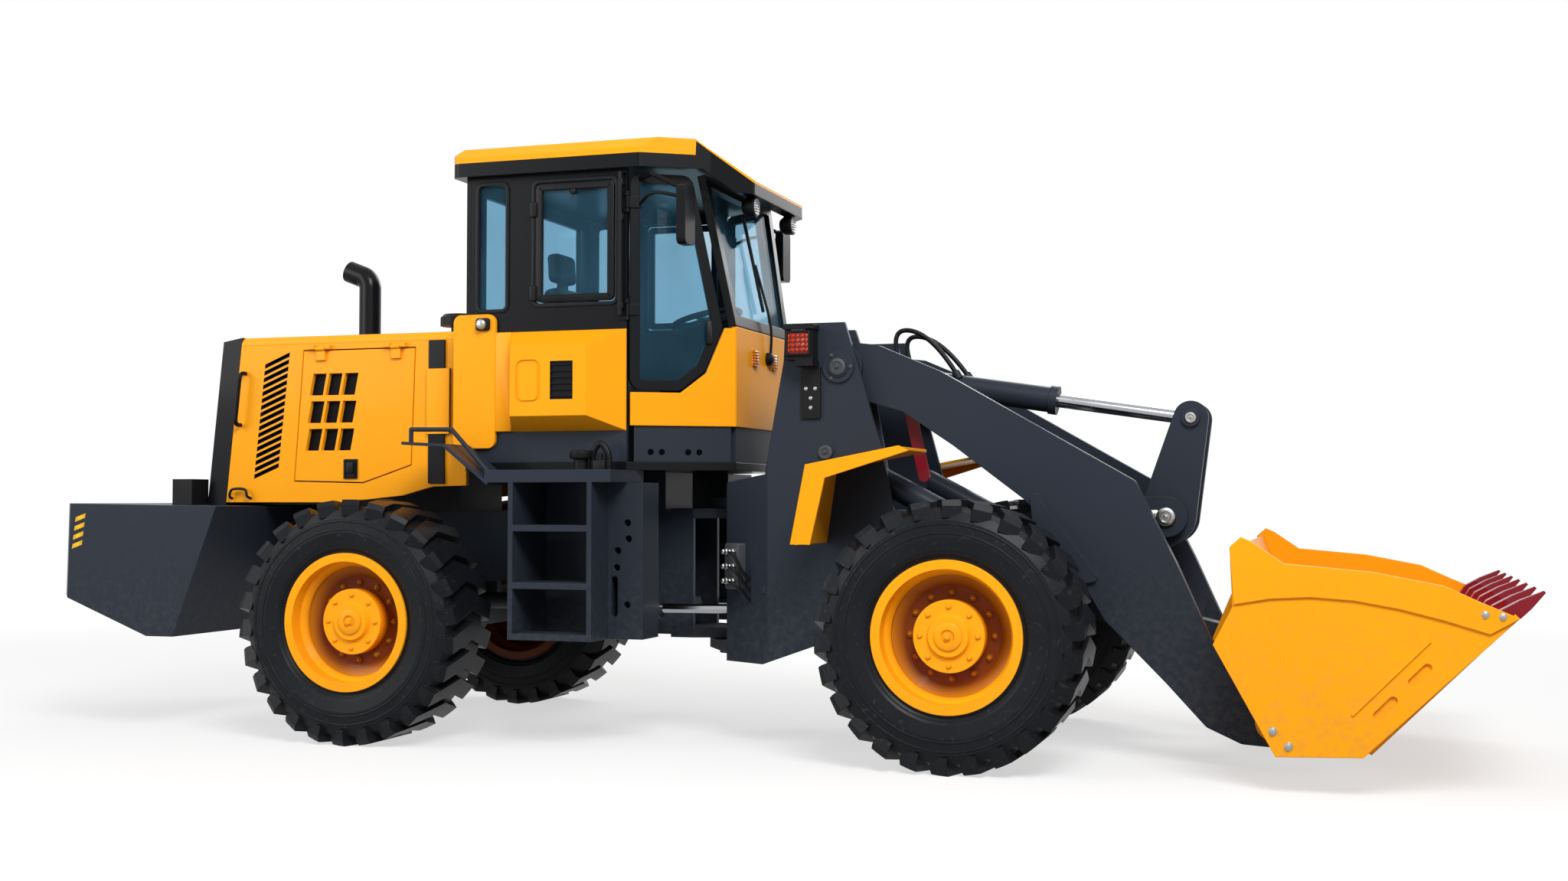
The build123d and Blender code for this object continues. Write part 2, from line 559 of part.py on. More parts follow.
def make_front_chassis():
    """Front frame: walls, towers, nose over the axle and the front half of the hinge."""
    wall = outline([(-330, TOWER_OUTER), (FRONT_BEND_X, TOWER_OUTER), (FRONT_WALL_X, FRONT_WALL_HALF),
                    (FRONT_WALL_X, FRONT_WALL_HALF - 30), (FRONT_BEND_X + 6, TOWER_OUTER - TOWER_PLATE),
                    (-330, TOWER_OUTER - TOWER_PLATE)])
    tower_side = outline([(-880, TOWER_TOP), (-590, TOWER_TOP), (-500, 1720), (-390, 1310), (-340, 1050),
                          (-340, 760), (-720, 500), (-1000, 400), (-1250, 400), (-1250, 1260), (-985, 1300),
                          (-890, 1830)])
    frame = pair(plan_plate(wall, 380, TOWER_TOP + 10)) & side_plate(tower_side, -700, 700)
    inner = outline([(-870, TOWER_TOP - 20), (-590, TOWER_TOP - 20), (-500, 1720), (-430, 1310), (-430, DECK_TOP - 5),
                     (-900, DECK_TOP - 5), (-900, 1500)])
    frame += pair(side_plate(inner, TOWER_INNER - TOWER_PLATE, TOWER_INNER))
    # Deck, rear web between the tower plates, and the cross wall that carries the tilt cylinder
    frame += box(-950, -400, -TOWER_OUTER + 10, TOWER_OUTER - 10, DECK_TOP - DECK_PLATE, DECK_TOP)
    frame += pair(box(-860, -835, TOWER_INNER - 5, TOWER_OUTER - 5, DECK_TOP - 5, TOWER_TOP - 40))
    frame += box(-800, -772, -TOWER_INNER + 10, TOWER_INNER - 10, DECK_TOP - 5, TILT_WALL_TOP)
    # Floor to the nose over the axle
    frame += box(-1000, -330, -TOWER_OUTER + 10, TOWER_OUTER - 10, 735, 760)
    frame += box(-330, NOSE_X, -NOSE_HALF, NOSE_HALF, 785, 810)
    frame += pair(box(-340, NOSE_X, NOSE_HALF - 30, NOSE_HALF, 760, NOSE_TOP))
    frame += box(NOSE_X - 30, NOSE_X, -NOSE_HALF, NOSE_HALF, 785, NOSE_TOP)
    frame += box(-370, -340, -TOWER_OUTER + 10, TOWER_OUTER - 10, 735, 1050)
    ear = make_hull([edge for face in (Pos(HINGE_X, 0) * Circle(HINGE_END_RADIUS),
                                       Pos(-1165, 0) * Rectangle(100, 2 * FRONT_WALL_HALF - 10))
                     for edge in face.edges()])
    ear += Pos(-1055, 0) * Rectangle(150, 2 * FRONT_WALL_HALF + 20)
    ear -= Pos(HINGE_X, 0) * Circle(HINGE_PIN_RADIUS + PIN_CLEARANCE)
    frame += plan_plate(ear, HINGE_TOP - HINGE_PLATE, HINGE_TOP)
    frame += plan_plate(ear, HINGE_FOOT, HINGE_FOOT + HINGE_PLATE)
    frame += box(-1010, -980, -FRONT_WALL_HALF - 60, FRONT_WALL_HALF + 60, 720, HINGE_TOP)
    # Lugs and pins of the arm, the tilt cylinder and the lift cylinders
    lug = tapered_plate([(*ARM_PIVOT, 80), (-770, 1870, 15), (-770, 1690, 15)])
    lug_face_y = TILT_EYE_HALF + 4
    lug_end = lug_face_y + TILT_LUG_PLATE
    frame += pair(side_plate(lug, lug_face_y, lug_end))
    frame += cross_pin(ARM_PIVOT, TILT_PIN_RADIUS, -lug_end - 12, lug_end + 12)
    frame += pair(cross_pin(ARM_PIVOT, ARM_PIN_RADIUS, TOWER_INNER - TOWER_PLATE - 10, TOWER_OUTER + 18))
    frame += pair(cross_pin(ARM_PIVOT, 75, TOWER_OUTER, TOWER_OUTER + 12))
    frame += pair(cross_pin(LIFT_BASE, CYLINDER_PIN_RADIUS, TOWER_INNER - TOWER_PLATE - 8, TOWER_OUTER + 12))
    # Steering cylinder brackets, open where the rod's eye sits
    x, y = STEER_EYE
    bracket = tapered_plate([(x, y, 42), (-1020, y - 40, 30), (-1020, y + 60, 30)])
    gap = STEER_EYE_HALF + 6
    frame += pair(plan_plate(bracket, STEER_HEIGHT + gap, STEER_HEIGHT + gap + 25))
    frame += pair(plan_plate(bracket, STEER_HEIGHT - gap - 25, STEER_HEIGHT - gap))
    frame += pair(box(-1010, -980, 200, FRONT_WALL_HALF + 60, 470, 740))
    return frame


def make_front_fenders():
    """Bent mudguards behind and over the front tyres."""
    line = [(-690, 980), (-640, 1330), (-200, 1410)]
    back = list(reversed(shifted_line(line, -14.0)))
    sheet = side_plate(outline(line + back), TOWER_OUTER, 1060)
    flange = outline([(-710, 980), (-640, 1335), (-215, 1415), (-170, 1392), (-550, 1275), (-618, 980)])
    return pair(sheet + side_plate(flange, 1045, 1060))


def make_front_lamps():
    """Lamps in hooded cases on stems on the outer faces of the towers."""
    stem = box(-800, -705, TOWER_OUTER, TOWER_OUTER + 14, 1560, 1800)
    arm = box(-800, -715, TOWER_OUTER, 700, 1800, 1830)
    case = box(-850, -715, TOWER_OUTER + 20, 700, 1830, 1990)
    lens = box(-842, -723, 700, 708, 1846, 1966)
    hood = box(-856, -709, TOWER_OUTER + 20, 716, 1972, 1996)
    return pair(stem + arm + case + lens + hood)


def make_boom():
    """Lift arm: two plates, a cross tube and the bracket that carries the rocker."""
    top = (ARM_PIVOT[0], ARM_PIVOT[1] + ARM_PIVOT_RADIUS)
    foot = (ARM_PIVOT[0], ARM_PIVOT[1] - ARM_PIVOT_RADIUS)
    tip = (BUCKET_PIVOT[0] + 80, BUCKET_PIVOT[1] + 75)
    heel = (BUCKET_PIVOT[0], BUCKET_PIVOT[1] - BUCKET_PIVOT_RADIUS)
    shape = make_face(FilletPolyline(top, *ARM_UPPER_EDGE, tip, heel, *ARM_LOWER_EDGE, foot,
                                     radius=ARM_CORNER_RADIUS, close=True))
    shape += Pos(*ARM_PIVOT) * Circle(ARM_PIVOT_RADIUS)
    shape += Pos(*BUCKET_PIVOT) * Circle(BUCKET_PIVOT_RADIUS)
    arm = side_plate(shape, ARM_INNER, ARM_OUTER)
    arm += cross_pin(ARM_PIVOT, ARM_PIVOT_RADIUS - 20, TOWER_INNER + FACE_CLEARANCE,
                     TOWER_OUTER - TOWER_PLATE - FACE_CLEARANCE)
    lug = tapered_plate([(*LIFT_EYE, LIFT_LUG_RADIUS), (290, 1185, 20), (550, 830, 20)])
    arm += side_plate(lug, ARM_INNER - LIFT_LUG_PLATE, ARM_INNER)
    arm += side_plate(lug, ARM_OUTER, ARM_OUTER + LIFT_LUG_PLATE)
    arm -= cross_pin(ARM_PIVOT, ARM_PIN_RADIUS + PIN_CLEARANCE, 0, TOWER_OUTER)
    arm -= cross_pin(BUCKET_PIVOT, BUCKET_PIN_RADIUS + PIN_CLEARANCE, 0, TOWER_OUTER)
    bracket = tapered_plate([(*ROCKER_PIVOT, 95), (*CROSS_TUBE, CROSS_TUBE_RADIUS + 25)])
    face = ROCKER_OUTER + ROCKER_BRACKET_GAP
    arm += side_plate(bracket, face, face + ROCKER_BRACKET_PLATE)
    boom = pair(arm)
    boom += cross_pin(CROSS_TUBE, CROSS_TUBE_RADIUS, -ARM_INNER, ARM_INNER)
    end = face + ROCKER_BRACKET_PLATE
    boom += cross_pin(ROCKER_PIVOT, ROCKER_PIN_RADIUS, -end - 15, end + 15)
    return boom


def make_safety_strut():
    """Bar that hangs at the inner face of the right arm."""
    strut = tapered_plate([(-330, 1660, 28), (-250, 1290, 28)])
    bar_inner = 415.0
    bar_outer = 433.0
    return mirror(side_plate(strut, bar_inner, bar_outer)
                  + cross_pin((-330, 1660), 20, bar_outer, ARM_INNER), about=Plane.XZ)


def make_rocker():
    """Bent rocker of two plates on a hub; both its end pivots are open between the plates."""
    shape = tapered_plate([(*ROCKER_PIVOT, ROCKER_HUB_RADIUS), (*ROCKER_TOP, ROCKER_TOP_RADIUS)])
    shape += tapered_plate([(*ROCKER_PIVOT, ROCKER_HUB_RADIUS), (*ROCKER_FOOT, ROCKER_FOOT_RADIUS)])
    rocker = pair(side_plate(shape, ROCKER_INNER, ROCKER_OUTER))
    hub_half = ROCKER_OUTER + ROCKER_BRACKET_GAP - FACE_CLEARANCE
    rocker += cross_pin(ROCKER_PIVOT, ROCKER_PIN_RADIUS + 40, -hub_half, hub_half)
    rocker += pair(cross_pin(ROCKER_TOP, 42, ROCKER_OUTER, ROCKER_OUTER + 18))
    rocker += pair(cross_pin(ROCKER_FOOT, 42, ROCKER_OUTER, ROCKER_OUTER + 18))
    rocker -= cross_pin(ROCKER_PIVOT, ROCKER_PIN_RADIUS + PIN_CLEARANCE, -hub_half, hub_half)
    return rocker


def make_bucket_link():
    """Straight link from the bucket's ears to the rocker's foot."""
    face = tapered_plate([(*LINK_PIN, LINK_EYE_RADIUS), (*ROCKER_FOOT, LINK_EYE_RADIUS)])
    face -= Pos(*LINK_PIN) * Circle(LINK_PIN_RADIUS + PIN_CLEARANCE)
    return side_plate(face, -LINK_HALF, LINK_HALF)


def make_bucket():
    """Bucket: bent shell, banded side plates, ears for the link and lugs for the arms."""
    inside = shifted_line(BUCKET_PROFILE, BUCKET_SHELL)
    shell = outline(BUCKET_PROFILE + list(reversed(inside)))
    bucket = side_plate(shell, -BUCKET_HALF, BUCKET_HALF)
    outer = BUCKET_HALF + BUCKET_SIDE_PLATE
    side = side_plate(outline(BUCKET_SIDE), BUCKET_HALF, outer)
    side += side_plate(outline(BUCKET_BAND_EDGE + BUCKET_SIDE[2:10]), outer, outer + BUCKET_BAND)
    for low, high in BUCKET_SLOTS:
        slot = tapered_plate([(*low, BUCKET_SLOT_RADIUS), (*high, BUCKET_SLOT_RADIUS)])
        side -= side_plate(slot, outer - BUCKET_SLOT_DEPTH, outer + 1)
    bucket += pair(side)
    ear = tapered_plate([(*LINK_PIN, 72), (1216, 892, 26), (1334, 612, 26)])
    ear_inner = LINK_HALF + FACE_CLEARANCE
    bucket += pair(side_plate(ear, ear_inner, ear_inner + EAR_PLATE))
    bucket += cross_pin(LINK_PIN, LINK_PIN_RADIUS, -ear_inner - EAR_PLATE - 12, ear_inner + EAR_PLATE + 12)
    lug = tapered_plate([(*BUCKET_PIVOT, 82), (1402, 495, 26), (1520, 295, 26)])
    for low in (ARM_INNER - FACE_CLEARANCE - LUG_PLATE, ARM_OUTER + FACE_CLEARANCE):
        bucket += pair(side_plate(lug, low, low + LUG_PLATE))
    bucket += pair(cross_pin(BUCKET_PIVOT, BUCKET_PIN_RADIUS, ARM_INNER - FACE_CLEARANCE - LUG_PLATE - 10,
                             ARM_OUTER + FACE_CLEARANCE + LUG_PLATE + 10))
    return bucket


def lip_point(along, above):
    """Point of the side view measured from the bucket's lip, along its floor and above it."""
    first, last = BUCKET_PROFILE[-2], BUCKET_PROFILE[-1]
    run = hypot(last[0] - first[0], last[1] - first[1])
    dx, dz = (last[0] - first[0]) / run, (last[1] - first[1]) / run
    return last[0] + along * dx - above * dz, last[1] + along * dz + above * dx


def make_bucket_teeth():
    """Row of pointed teeth on the bucket's lip, each a curved claw that narrows to its tip."""
    top = BUCKET_SHELL + TOOTH_HEIGHT
    face = outline([lip_point(-TOOTH_HEEL, BUCKET_SHELL), lip_point(-TOOTH_HEEL + 25, top - 15),
                    lip_point(-30, top), lip_point(50, top - 22), lip_point(TOOTH_REACH, 6),
                    lip_point(TOOTH_REACH, -4), lip_point(60, -10), lip_point(0, -8), lip_point(0, BUCKET_SHELL)])
    first, last = BUCKET_PROFILE[-2], BUCKET_PROFILE[-1]
    lip = Plane(origin=(last[0], 0, last[1]), x_dir=(last[0] - first[0], 0, last[1] - first[1]),
                z_dir=(first[1] - last[1], 0, last[0] - first[0]))
    half, tip = TOOTH_WIDTH / 2, TOOTH_WIDTH / 8
    plan = outline([(-TOOTH_HEEL - 5, -half), (20, -half), (TOOTH_REACH + 1, -tip), (TOOTH_REACH + 1, tip),
                    (20, half), (-TOOTH_HEEL - 5, half)])
    taper = extrude(lip.offset(-TOOTH_HEIGHT) * plan, amount=BUCKET_SHELL + 3 * TOOTH_HEIGHT)
    claw = side_plate(face, -half, half) & taper
    spacing = 2 * (BUCKET_HALF - TOOTH_EDGE) / (TOOTH_COUNT - 1)
    teeth = None
    for index in range(TOOTH_COUNT):
        tooth = Pos(0, (index - (TOOTH_COUNT - 1) / 2) * spacing, 0) * claw
        teeth = tooth if teeth is None else teeth + tooth
    return teeth


def cylinder_plane(base, eye, y):
    """Plane at a cylinder's base pin: its normal points at the eye, its x axis along the pin."""
    return Plane(origin=(base[0], y, base[1]), x_dir=(0, 1, 0), z_dir=(eye[0] - base[0], 0, eye[1] - base[1]))


def make_cylinder(length, barrel_radius, rod_radius, barrel_length, neck, tail, pin_radius, eye_half, ports=()):
    """Barrel and rod along +Z from the base pin, whose axis is X; the eye is at the length."""
    eye_radius = pin_radius + EYE_WALL
    bore = barrel_radius - CYLINDER_WALL
    up = (Align.CENTER, Align.CENTER, Align.MIN)
    base_eye = Rot(0, 90, 0) * Cylinder(eye_radius, 2 * eye_half)
    barrel = base_eye + Cylinder(eye_half - 4, neck + 20, align=up)
    barrel += Pos(0, 0, neck) * Cylinder(barrel_radius, barrel_length - neck, align=up)
    barrel += Pos(0, 0, barrel_length - GLAND_LENGTH) * Cylinder(barrel_radius + GLAND_STEP, GLAND_LENGTH, align=up)
    for port in ports:
        barrel += port
    room = max(eye_radius, neck) + 30
    barrel -= Pos(0, 0, room) * Cylinder(bore, barrel_length - GLAND_LENGTH - room, align=up)
    barrel -= Pos(0, 0, room) * Cylinder(rod_radius + PIN_CLEARANCE, barrel_length, align=up)
    barrel -= Rot(0, 90, 0) * Cylinder(pin_radius + PIN_CLEARANCE, 4 * eye_half)
    rod = Pos(0, 0, tail) * Cylinder(rod_radius, length - tail, align=up)
    rod += Pos(0, 0, tail) * Cylinder(bore - PIN_CLEARANCE, PISTON_LENGTH, align=up)
    rod += Pos(0, 0, length) * Rot(0, 90, 0) * Cylinder(eye_radius, 2 * eye_half)
    return barrel, rod


def make_tilt_hoses():
    """Two hoses that arch over the tilt barrel, and the ports that hold their ends, along +Z."""
    hoses, ports = None, []
    for x, start, rise, fall, land, top in HOSES:
        height = TILT_BARREL_RADIUS + HOSE_PORT_RISE
        points = [Vector(x, height, start), Vector(x, top, rise), Vector(x, top, fall), Vector(x, height, land)]
        path = FilletPolyline(*points, radius=HOSE_BEND)
        hose = sweep(Plane(origin=points[0], z_dir=points[1] - points[0]) * Circle(HOSE_RADIUS), path=path)
        hoses = hose if hoses is None else hoses + hose
        for end, next_point in ((points[0], points[1]), (points[3], points[2])):
            root = end - (next_point - end).normalized() * HOSE_PORT_LENGTH
            ports.append(bar(tuple(root), tuple(end), HOSE_PORT_RADIUS))
    return hoses, ports


def cylinder_nodes():
    """Tilt, lift and steering cylinders in place, with the hoses of the tilt cylinder."""
    nodes = {}
    hoses, ports = make_tilt_hoses()
    length = hypot(ROCKER_TOP[0] - ARM_PIVOT[0], ROCKER_TOP[1] - ARM_PIVOT[1])
    barrel, rod = make_cylinder(length, TILT_BARREL_RADIUS, TILT_ROD_RADIUS, TILT_BARREL_LENGTH, TILT_NECK,
                                TILT_TAIL, TILT_PIN_RADIUS, TILT_EYE_HALF, ports)
    place = cylinder_plane(ARM_PIVOT, ROCKER_TOP, 0)
    nodes["tilt_barrel"] = place * barrel
    nodes["tilt_rod"] = place * rod
    nodes["tilt_hoses"] = place * hoses
    length = hypot(LIFT_EYE[0] - LIFT_BASE[0], LIFT_EYE[1] - LIFT_BASE[1])
    barrel, rod = make_cylinder(length, LIFT_BARREL_RADIUS, LIFT_ROD_RADIUS, LIFT_BARREL_LENGTH, LIFT_NECK,
                                LIFT_TAIL, CYLINDER_PIN_RADIUS, LIFT_EYE_HALF)
    for side, way in (("left", 1), ("right", -1)):
        place = cylinder_plane(LIFT_BASE, LIFT_EYE, way * LIFT_Y)
        nodes[f"lift_barrel_{side}"] = place * barrel
        nodes[f"lift_rod_{side}"] = place * rod
    run = (STEER_EYE[0] - STEER_BASE[0], STEER_EYE[1] - STEER_BASE[1])
    barrel, rod = make_cylinder(hypot(*run), STEER_BARREL_RADIUS, STEER_ROD_RADIUS, STEER_BARREL_LENGTH, STEER_NECK,
                                STEER_TAIL, STEER_PIN_RADIUS, STEER_EYE_HALF)
    place = Plane(origin=(*STEER_BASE, STEER_HEIGHT), x_dir=(0, 0, 1), z_dir=(*run, 0))
    nodes["steer_barrel_left"] = place * barrel
    nodes["steer_rod_left"] = place * rod
    nodes["steer_barrel_right"] = mirror(place * barrel, about=Plane.XZ)
    nodes["steer_rod_right"] = mirror(place * rod, about=Plane.XZ)
    return nodes


def make_counterweight():
    """Cast counterweight with a towing notch and its upright pin bore."""
    weight = side_plate(outline(WEIGHT_SIDE), -WEIGHT_HALF, WEIGHT_HALF)
    weight = chamfer(weight.edges().filter_by(Axis.Z, tolerance=20), WEIGHT_CHAMFER)
    rear = min(point[0] for point in WEIGHT_SIDE)
    weight -= box(rear - 10, rear + TOW_NOTCH_DEPTH, -TOW_NOTCH_HALF, TOW_NOTCH_HALF, TOW_NOTCH_FOOT, TOW_NOTCH_TOP)
    weight -= upright_pin(rear + TOW_PIN_SET_IN, 0, TOW_PIN_RADIUS, TOW_PIN_FOOT, WEIGHT_SIDE[0][1] + 100)
    return weight


def vent_strip():
    """Column of slanted slots near the hood's rear edge, as a face in the side view."""
    slots = None
    for index in range(VENT_STRIP_COUNT):
        z = VENT_STRIP_FOOT + index * VENT_STRIP_PITCH
        x = hood_rear_x(z) + VENT_STRIP_SET_IN
        slot = outline([(x, z), (x + VENT_STRIP_WIDTH, z + VENT_STRIP_LEAN),
                        (x + VENT_STRIP_WIDTH, z + VENT_STRIP_LEAN + VENT_STRIP_SLOT), (x, z + VENT_STRIP_SLOT)])
        slots = slot if slots is None else slots + slot
    return slots


def hood_hinges_x():
    """X of the middles of an engine door's two hinges."""
    return DOOR_REAR_TOP_X + HOOD_HINGE_SET_IN, DOOR_FRONT_TOP_X - HOOD_HINGE_SET_IN


def hood_hinge_axis():
    """Y and z of the left engine door's hinge pins."""
    return HOOD_HALF + HOOD_HINGE_OUT, ENGINE_DOOR_TOP + HOOD_HINGE_RISE


def make_hood_sides():
    """Side panels of the hood with vent strips, grab handles and the pins of the engine doors."""
    foot = HOOD_FOOT
    panel = outline([(hood_rear_x(foot), foot), (DOOR_KNEE_X - 120, foot), (DOOR_FRONT_FOOT_X - 50, foot + 35),
                     (HOOD_FRONT_X - 190, foot + 80), (HOOD_FRONT_X, foot + 85), (HOOD_FRONT_X, HOOD_SIDE_TOP),
                     (hood_rear_x(HOOD_SIDE_TOP), HOOD_SIDE_TOP)])
    panel = panel - outline(ENGINE_DOOR) - vent_strip()
    side = side_plate(panel, HOOD_HALF - HOOD_PANEL, HOOD_HALF)
    low, high = [(hood_rear_x(z) + GRAB_SET_IN, z) for z in (GRAB_FOOT, GRAB_TOP)]
    reach = HOOD_HALF + GRAB_REACH
    path = FilletPolyline((low[0], HOOD_HALF - 5, low[1]), (low[0], reach, low[1]), (high[0], reach, high[1]),
                          (high[0], HOOD_HALF - 5, high[1]), radius=30)
    start = Plane(origin=(low[0], HOOD_HALF - 5, low[1]), z_dir=(0, 1, 0))
    side += sweep(start * Circle(GRAB_RADIUS), path=path)
    y, z = hood_hinge_axis()
    for x in hood_hinges_x():
        side += bar((x - HOOD_HINGE_HALF, y, z), (x + HOOD_HINGE_HALF, y, z), HOOD_HINGE_PIN)
        for low_x in (x - HOOD_HINGE_HALF, x + HOOD_HINGE_LEAF + 3):
            side += box(low_x, low_x + HOOD_HINGE_HALF - HOOD_HINGE_LEAF - 3, HOOD_HALF, y + HOOD_HINGE_KNUCKLE, z - 2,
                        z + 18)
    return pair(side)


def door_vents():
    """Block of leaning vents near the engine door's rear edge, as a face in the side view."""
    vents = None
    for row in range(DOOR_VENT_ROWS):
        top = ENGINE_DOOR_TOP - DOOR_VENT_DROP - row * DOOR_VENT_PITCH_Z
        foot = top - DOOR_VENT_HEIGHT
        for column in range(DOOR_VENT_COLUMNS):
            x = DOOR_REAR_TOP_X + DOOR_VENT_SET_IN + column * DOOR_VENT_PITCH_X - row * DOOR_VENT_LEAN / 2
            if x + DOOR_VENT_WIDTH > DOOR_FRONT_TOP_X - DOOR_VENT_SET_IN:
                continue
            vent = outline([(x, top), (x + DOOR_VENT_WIDTH, top), (x + DOOR_VENT_WIDTH - DOOR_VENT_LEAN, foot),
                            (x - DOOR_VENT_LEAN, foot)])
            vents = vent if vents is None else vents + vent
    return vents


def make_engine_door():
    """Left engine door with its vents, latch and the knuckles that hang it along its top edge."""
    leaf = offset(outline(ENGINE_DOOR), amount=-DOOR_GAP, kind=Kind.INTERSECTION)
    door = side_plate(leaf - door_vents(), HOOD_HALF - HOOD_PANEL, HOOD_HALF)
    latch_x = DOOR_REAR_FOOT_X + LATCH_SET_IN
    latch_z = HOOD_FOOT + 97 + LATCH_RISE
    door += box(latch_x, latch_x + LATCH_WIDTH, HOOD_HALF, HOOD_HALF + LATCH_PROUD, latch_z, latch_z + LATCH_HEIGHT)
    y, z = hood_hinge_axis()
    for x in hood_hinges_x():
        low, high = x - HOOD_HINGE_LEAF, x + HOOD_HINGE_LEAF
        leaf_face = HOOD_HALF + HOOD_HINGE_RISE
        hinge = box(low, high, leaf_face, y, z - 60, z) + box(low, high, HOOD_HALF, y, z - 60, z - 16)
        hinge += bar((low, y, z), (high, y, z), HOOD_HINGE_KNUCKLE)
        door += hinge - bar((low - 1, y, z), (high + 1, y, z), HOOD_HINGE_PIN + PIN_CLEARANCE)
    return door


def make_hood_top():
    """Top of the hood with rounded long edges."""
    face = outline([(-HOOD_HALF, HOOD_SIDE_TOP), (HOOD_HALF, HOOD_SIDE_TOP), (HOOD_HALF, HOOD_TOP),
                    (-HOOD_HALF, HOOD_TOP)])
    face = fillet(face.vertices().sort_by(Axis.Y)[-2:], HOOD_EDGE_RADIUS)
    side = outline([(hood_rear_x(HOOD_SIDE_TOP), HOOD_SIDE_TOP), (HOOD_FRONT_X, HOOD_SIDE_TOP),
                    (HOOD_FRONT_X, HOOD_TOP), (hood_rear_x(HOOD_TOP), HOOD_TOP)])
    return cross_plate(face, hood_rear_x(HOOD_SIDE_TOP), HOOD_FRONT_X) & side_plate(side, -HOOD_HALF, HOOD_HALF)


def make_rear_grille():
    """Sloped grille at the rear of the hood: a frame on the counterweight, a back panel and level slats."""
    rear_foot, front_foot = HOOD_REAR_FOOT_X - GRILLE_DEPTH, HOOD_REAR_FOOT_X
    face = outline([(hood_rear_x(HOOD_TOP), HOOD_TOP), (hood_rear_x(HOOD_TOP) - GRILLE_DEPTH, HOOD_TOP - 20),
                    (rear_foot, weight_top_z(rear_foot)), (front_foot, weight_top_z(front_foot)),
                    (hood_rear_x(HOOD_FOOT), HOOD_FOOT)])
    half = HOOD_HALF - GRILLE_BORDER
    low, high = HOOD_FOOT + GRILLE_BORDER, HOOD_TOP - GRILLE_BORDER - 20
    recess = outline([(rear_foot - 200, low), (hood_rear_x(low) - GRILLE_PANEL, low),
                      (hood_rear_x(high) - GRILLE_PANEL, high), (rear_foot - 200, high)])
    grille = side_plate(face, -HOOD_HALF, HOOD_HALF) - side_plate(recess, -half, half)
    pitch = (high - low) / (SLAT_COUNT + 1)
    for index in range(SLAT_COUNT):
        z = low + (index + 1) * pitch
        x = hood_rear_x(z) - GRILLE_PANEL
        tip, drop = x - SLAT_DEPTH, z - SLAT_DEPTH / 2
        slat = outline([(x + SLAT_ROOT, z), (tip, drop), (tip, drop + SLAT_THICK), (x + SLAT_ROOT, z + SLAT_THICK)])
        grille += side_plate(slat, -half - SLAT_ROOT, half + SLAT_ROOT)
    return grille


def make_exhaust():
    """Exhaust pipe that rises from a collar on the hood and bends to the rear."""
    path = FilletPolyline((EXHAUST_X, EXHAUST_Y, HOOD_TOP), (EXHAUST_X, EXHAUST_Y, HOOD_TOP + 345),
                          (EXHAUST_X - 130, EXHAUST_Y, HOOD_TOP + 395), radius=70)
    start = Plane(origin=(EXHAUST_X, EXHAUST_Y, HOOD_TOP))
    outer = sweep(start * Circle(EXHAUST_RADIUS), path=path)
    outer += upright_pin(EXHAUST_X, EXHAUST_Y, EXHAUST_RADIUS + EXHAUST_COLLAR, HOOD_TOP, HOOD_TOP + 30)
    return outer - sweep(start * Circle(EXHAUST_RADIUS - EXHAUST_WALL), path=path)


def make_precleaner():
    """Mushroom air cleaner on the hood."""
    stem = upright_pin(PRECLEANER_X, PRECLEANER_Y, 45, HOOD_TOP, HOOD_TOP + 55)
    cap = upright_pin(PRECLEANER_X, PRECLEANER_Y, PRECLEANER_RADIUS, HOOD_TOP + 45, HOOD_TOP + 105)
    return stem + chamfer(cap.edges().sort_by(Axis.Z)[-1], 18)


def make_hood_trim():
    """Dark strip on each side of the hood in front of the engine door, with a cover plate half way up."""
    rear, front = HOOD_FRONT_X - TRIM_REAR, HOOD_FRONT_X - TRIM_FRONT
    strip = box(rear, front, HOOD_HALF, HOOD_HALF + TRIM_THICK, HOOD_FOOT + 95, HOOD_SIDE_TOP)
    cover = box(rear - 8, front + 30, HOOD_HALF, HOOD_HALF + TRIM_THICK + 6, TRIM_COVER_FOOT, TRIM_COVER_TOP)
    return pair(strip + cover)


def door_plane():
    """Plane of the left cab door: x runs from the rear post to the front, y is up, inwards is positive."""
    run = Vector(CAB_FRONT_X - CAB_POST_X, CAB_FRONT_HALF - CAB_HALF, 0).normalized()
    return Plane(origin=(CAB_POST_X, CAB_HALF, 0), x_dir=run, z_dir=(run.Y, -run.X, 0))


def door_run():
    """Length of the cab's angled corner in plan."""
    return hypot(CAB_FRONT_X - CAB_POST_X, CAB_FRONT_HALF - CAB_HALF)


def door_outline():
    """Outline of the cab door in its own plane."""
    run = door_run()
    face = outline([(DOOR_EDGE, DOOR_FOOT), (run - 279, DOOR_FOOT), (run - 156, DOOR_FOOT + 95),
                    (run - 67, CAB_SILL - 15), (run - 223, DOOR_TOP), (DOOR_EDGE, DOOR_TOP)])
    return fillet(face.vertices(), DOOR_CORNER_RADIUS)


def cab_hinge_point():
    """X and y of the left cab door's hinge pins."""
    point = door_plane().from_local_coords((CAB_HINGE_SIDE, 0, -CAB_HINGE_OUT))
    return point.X, point.Y


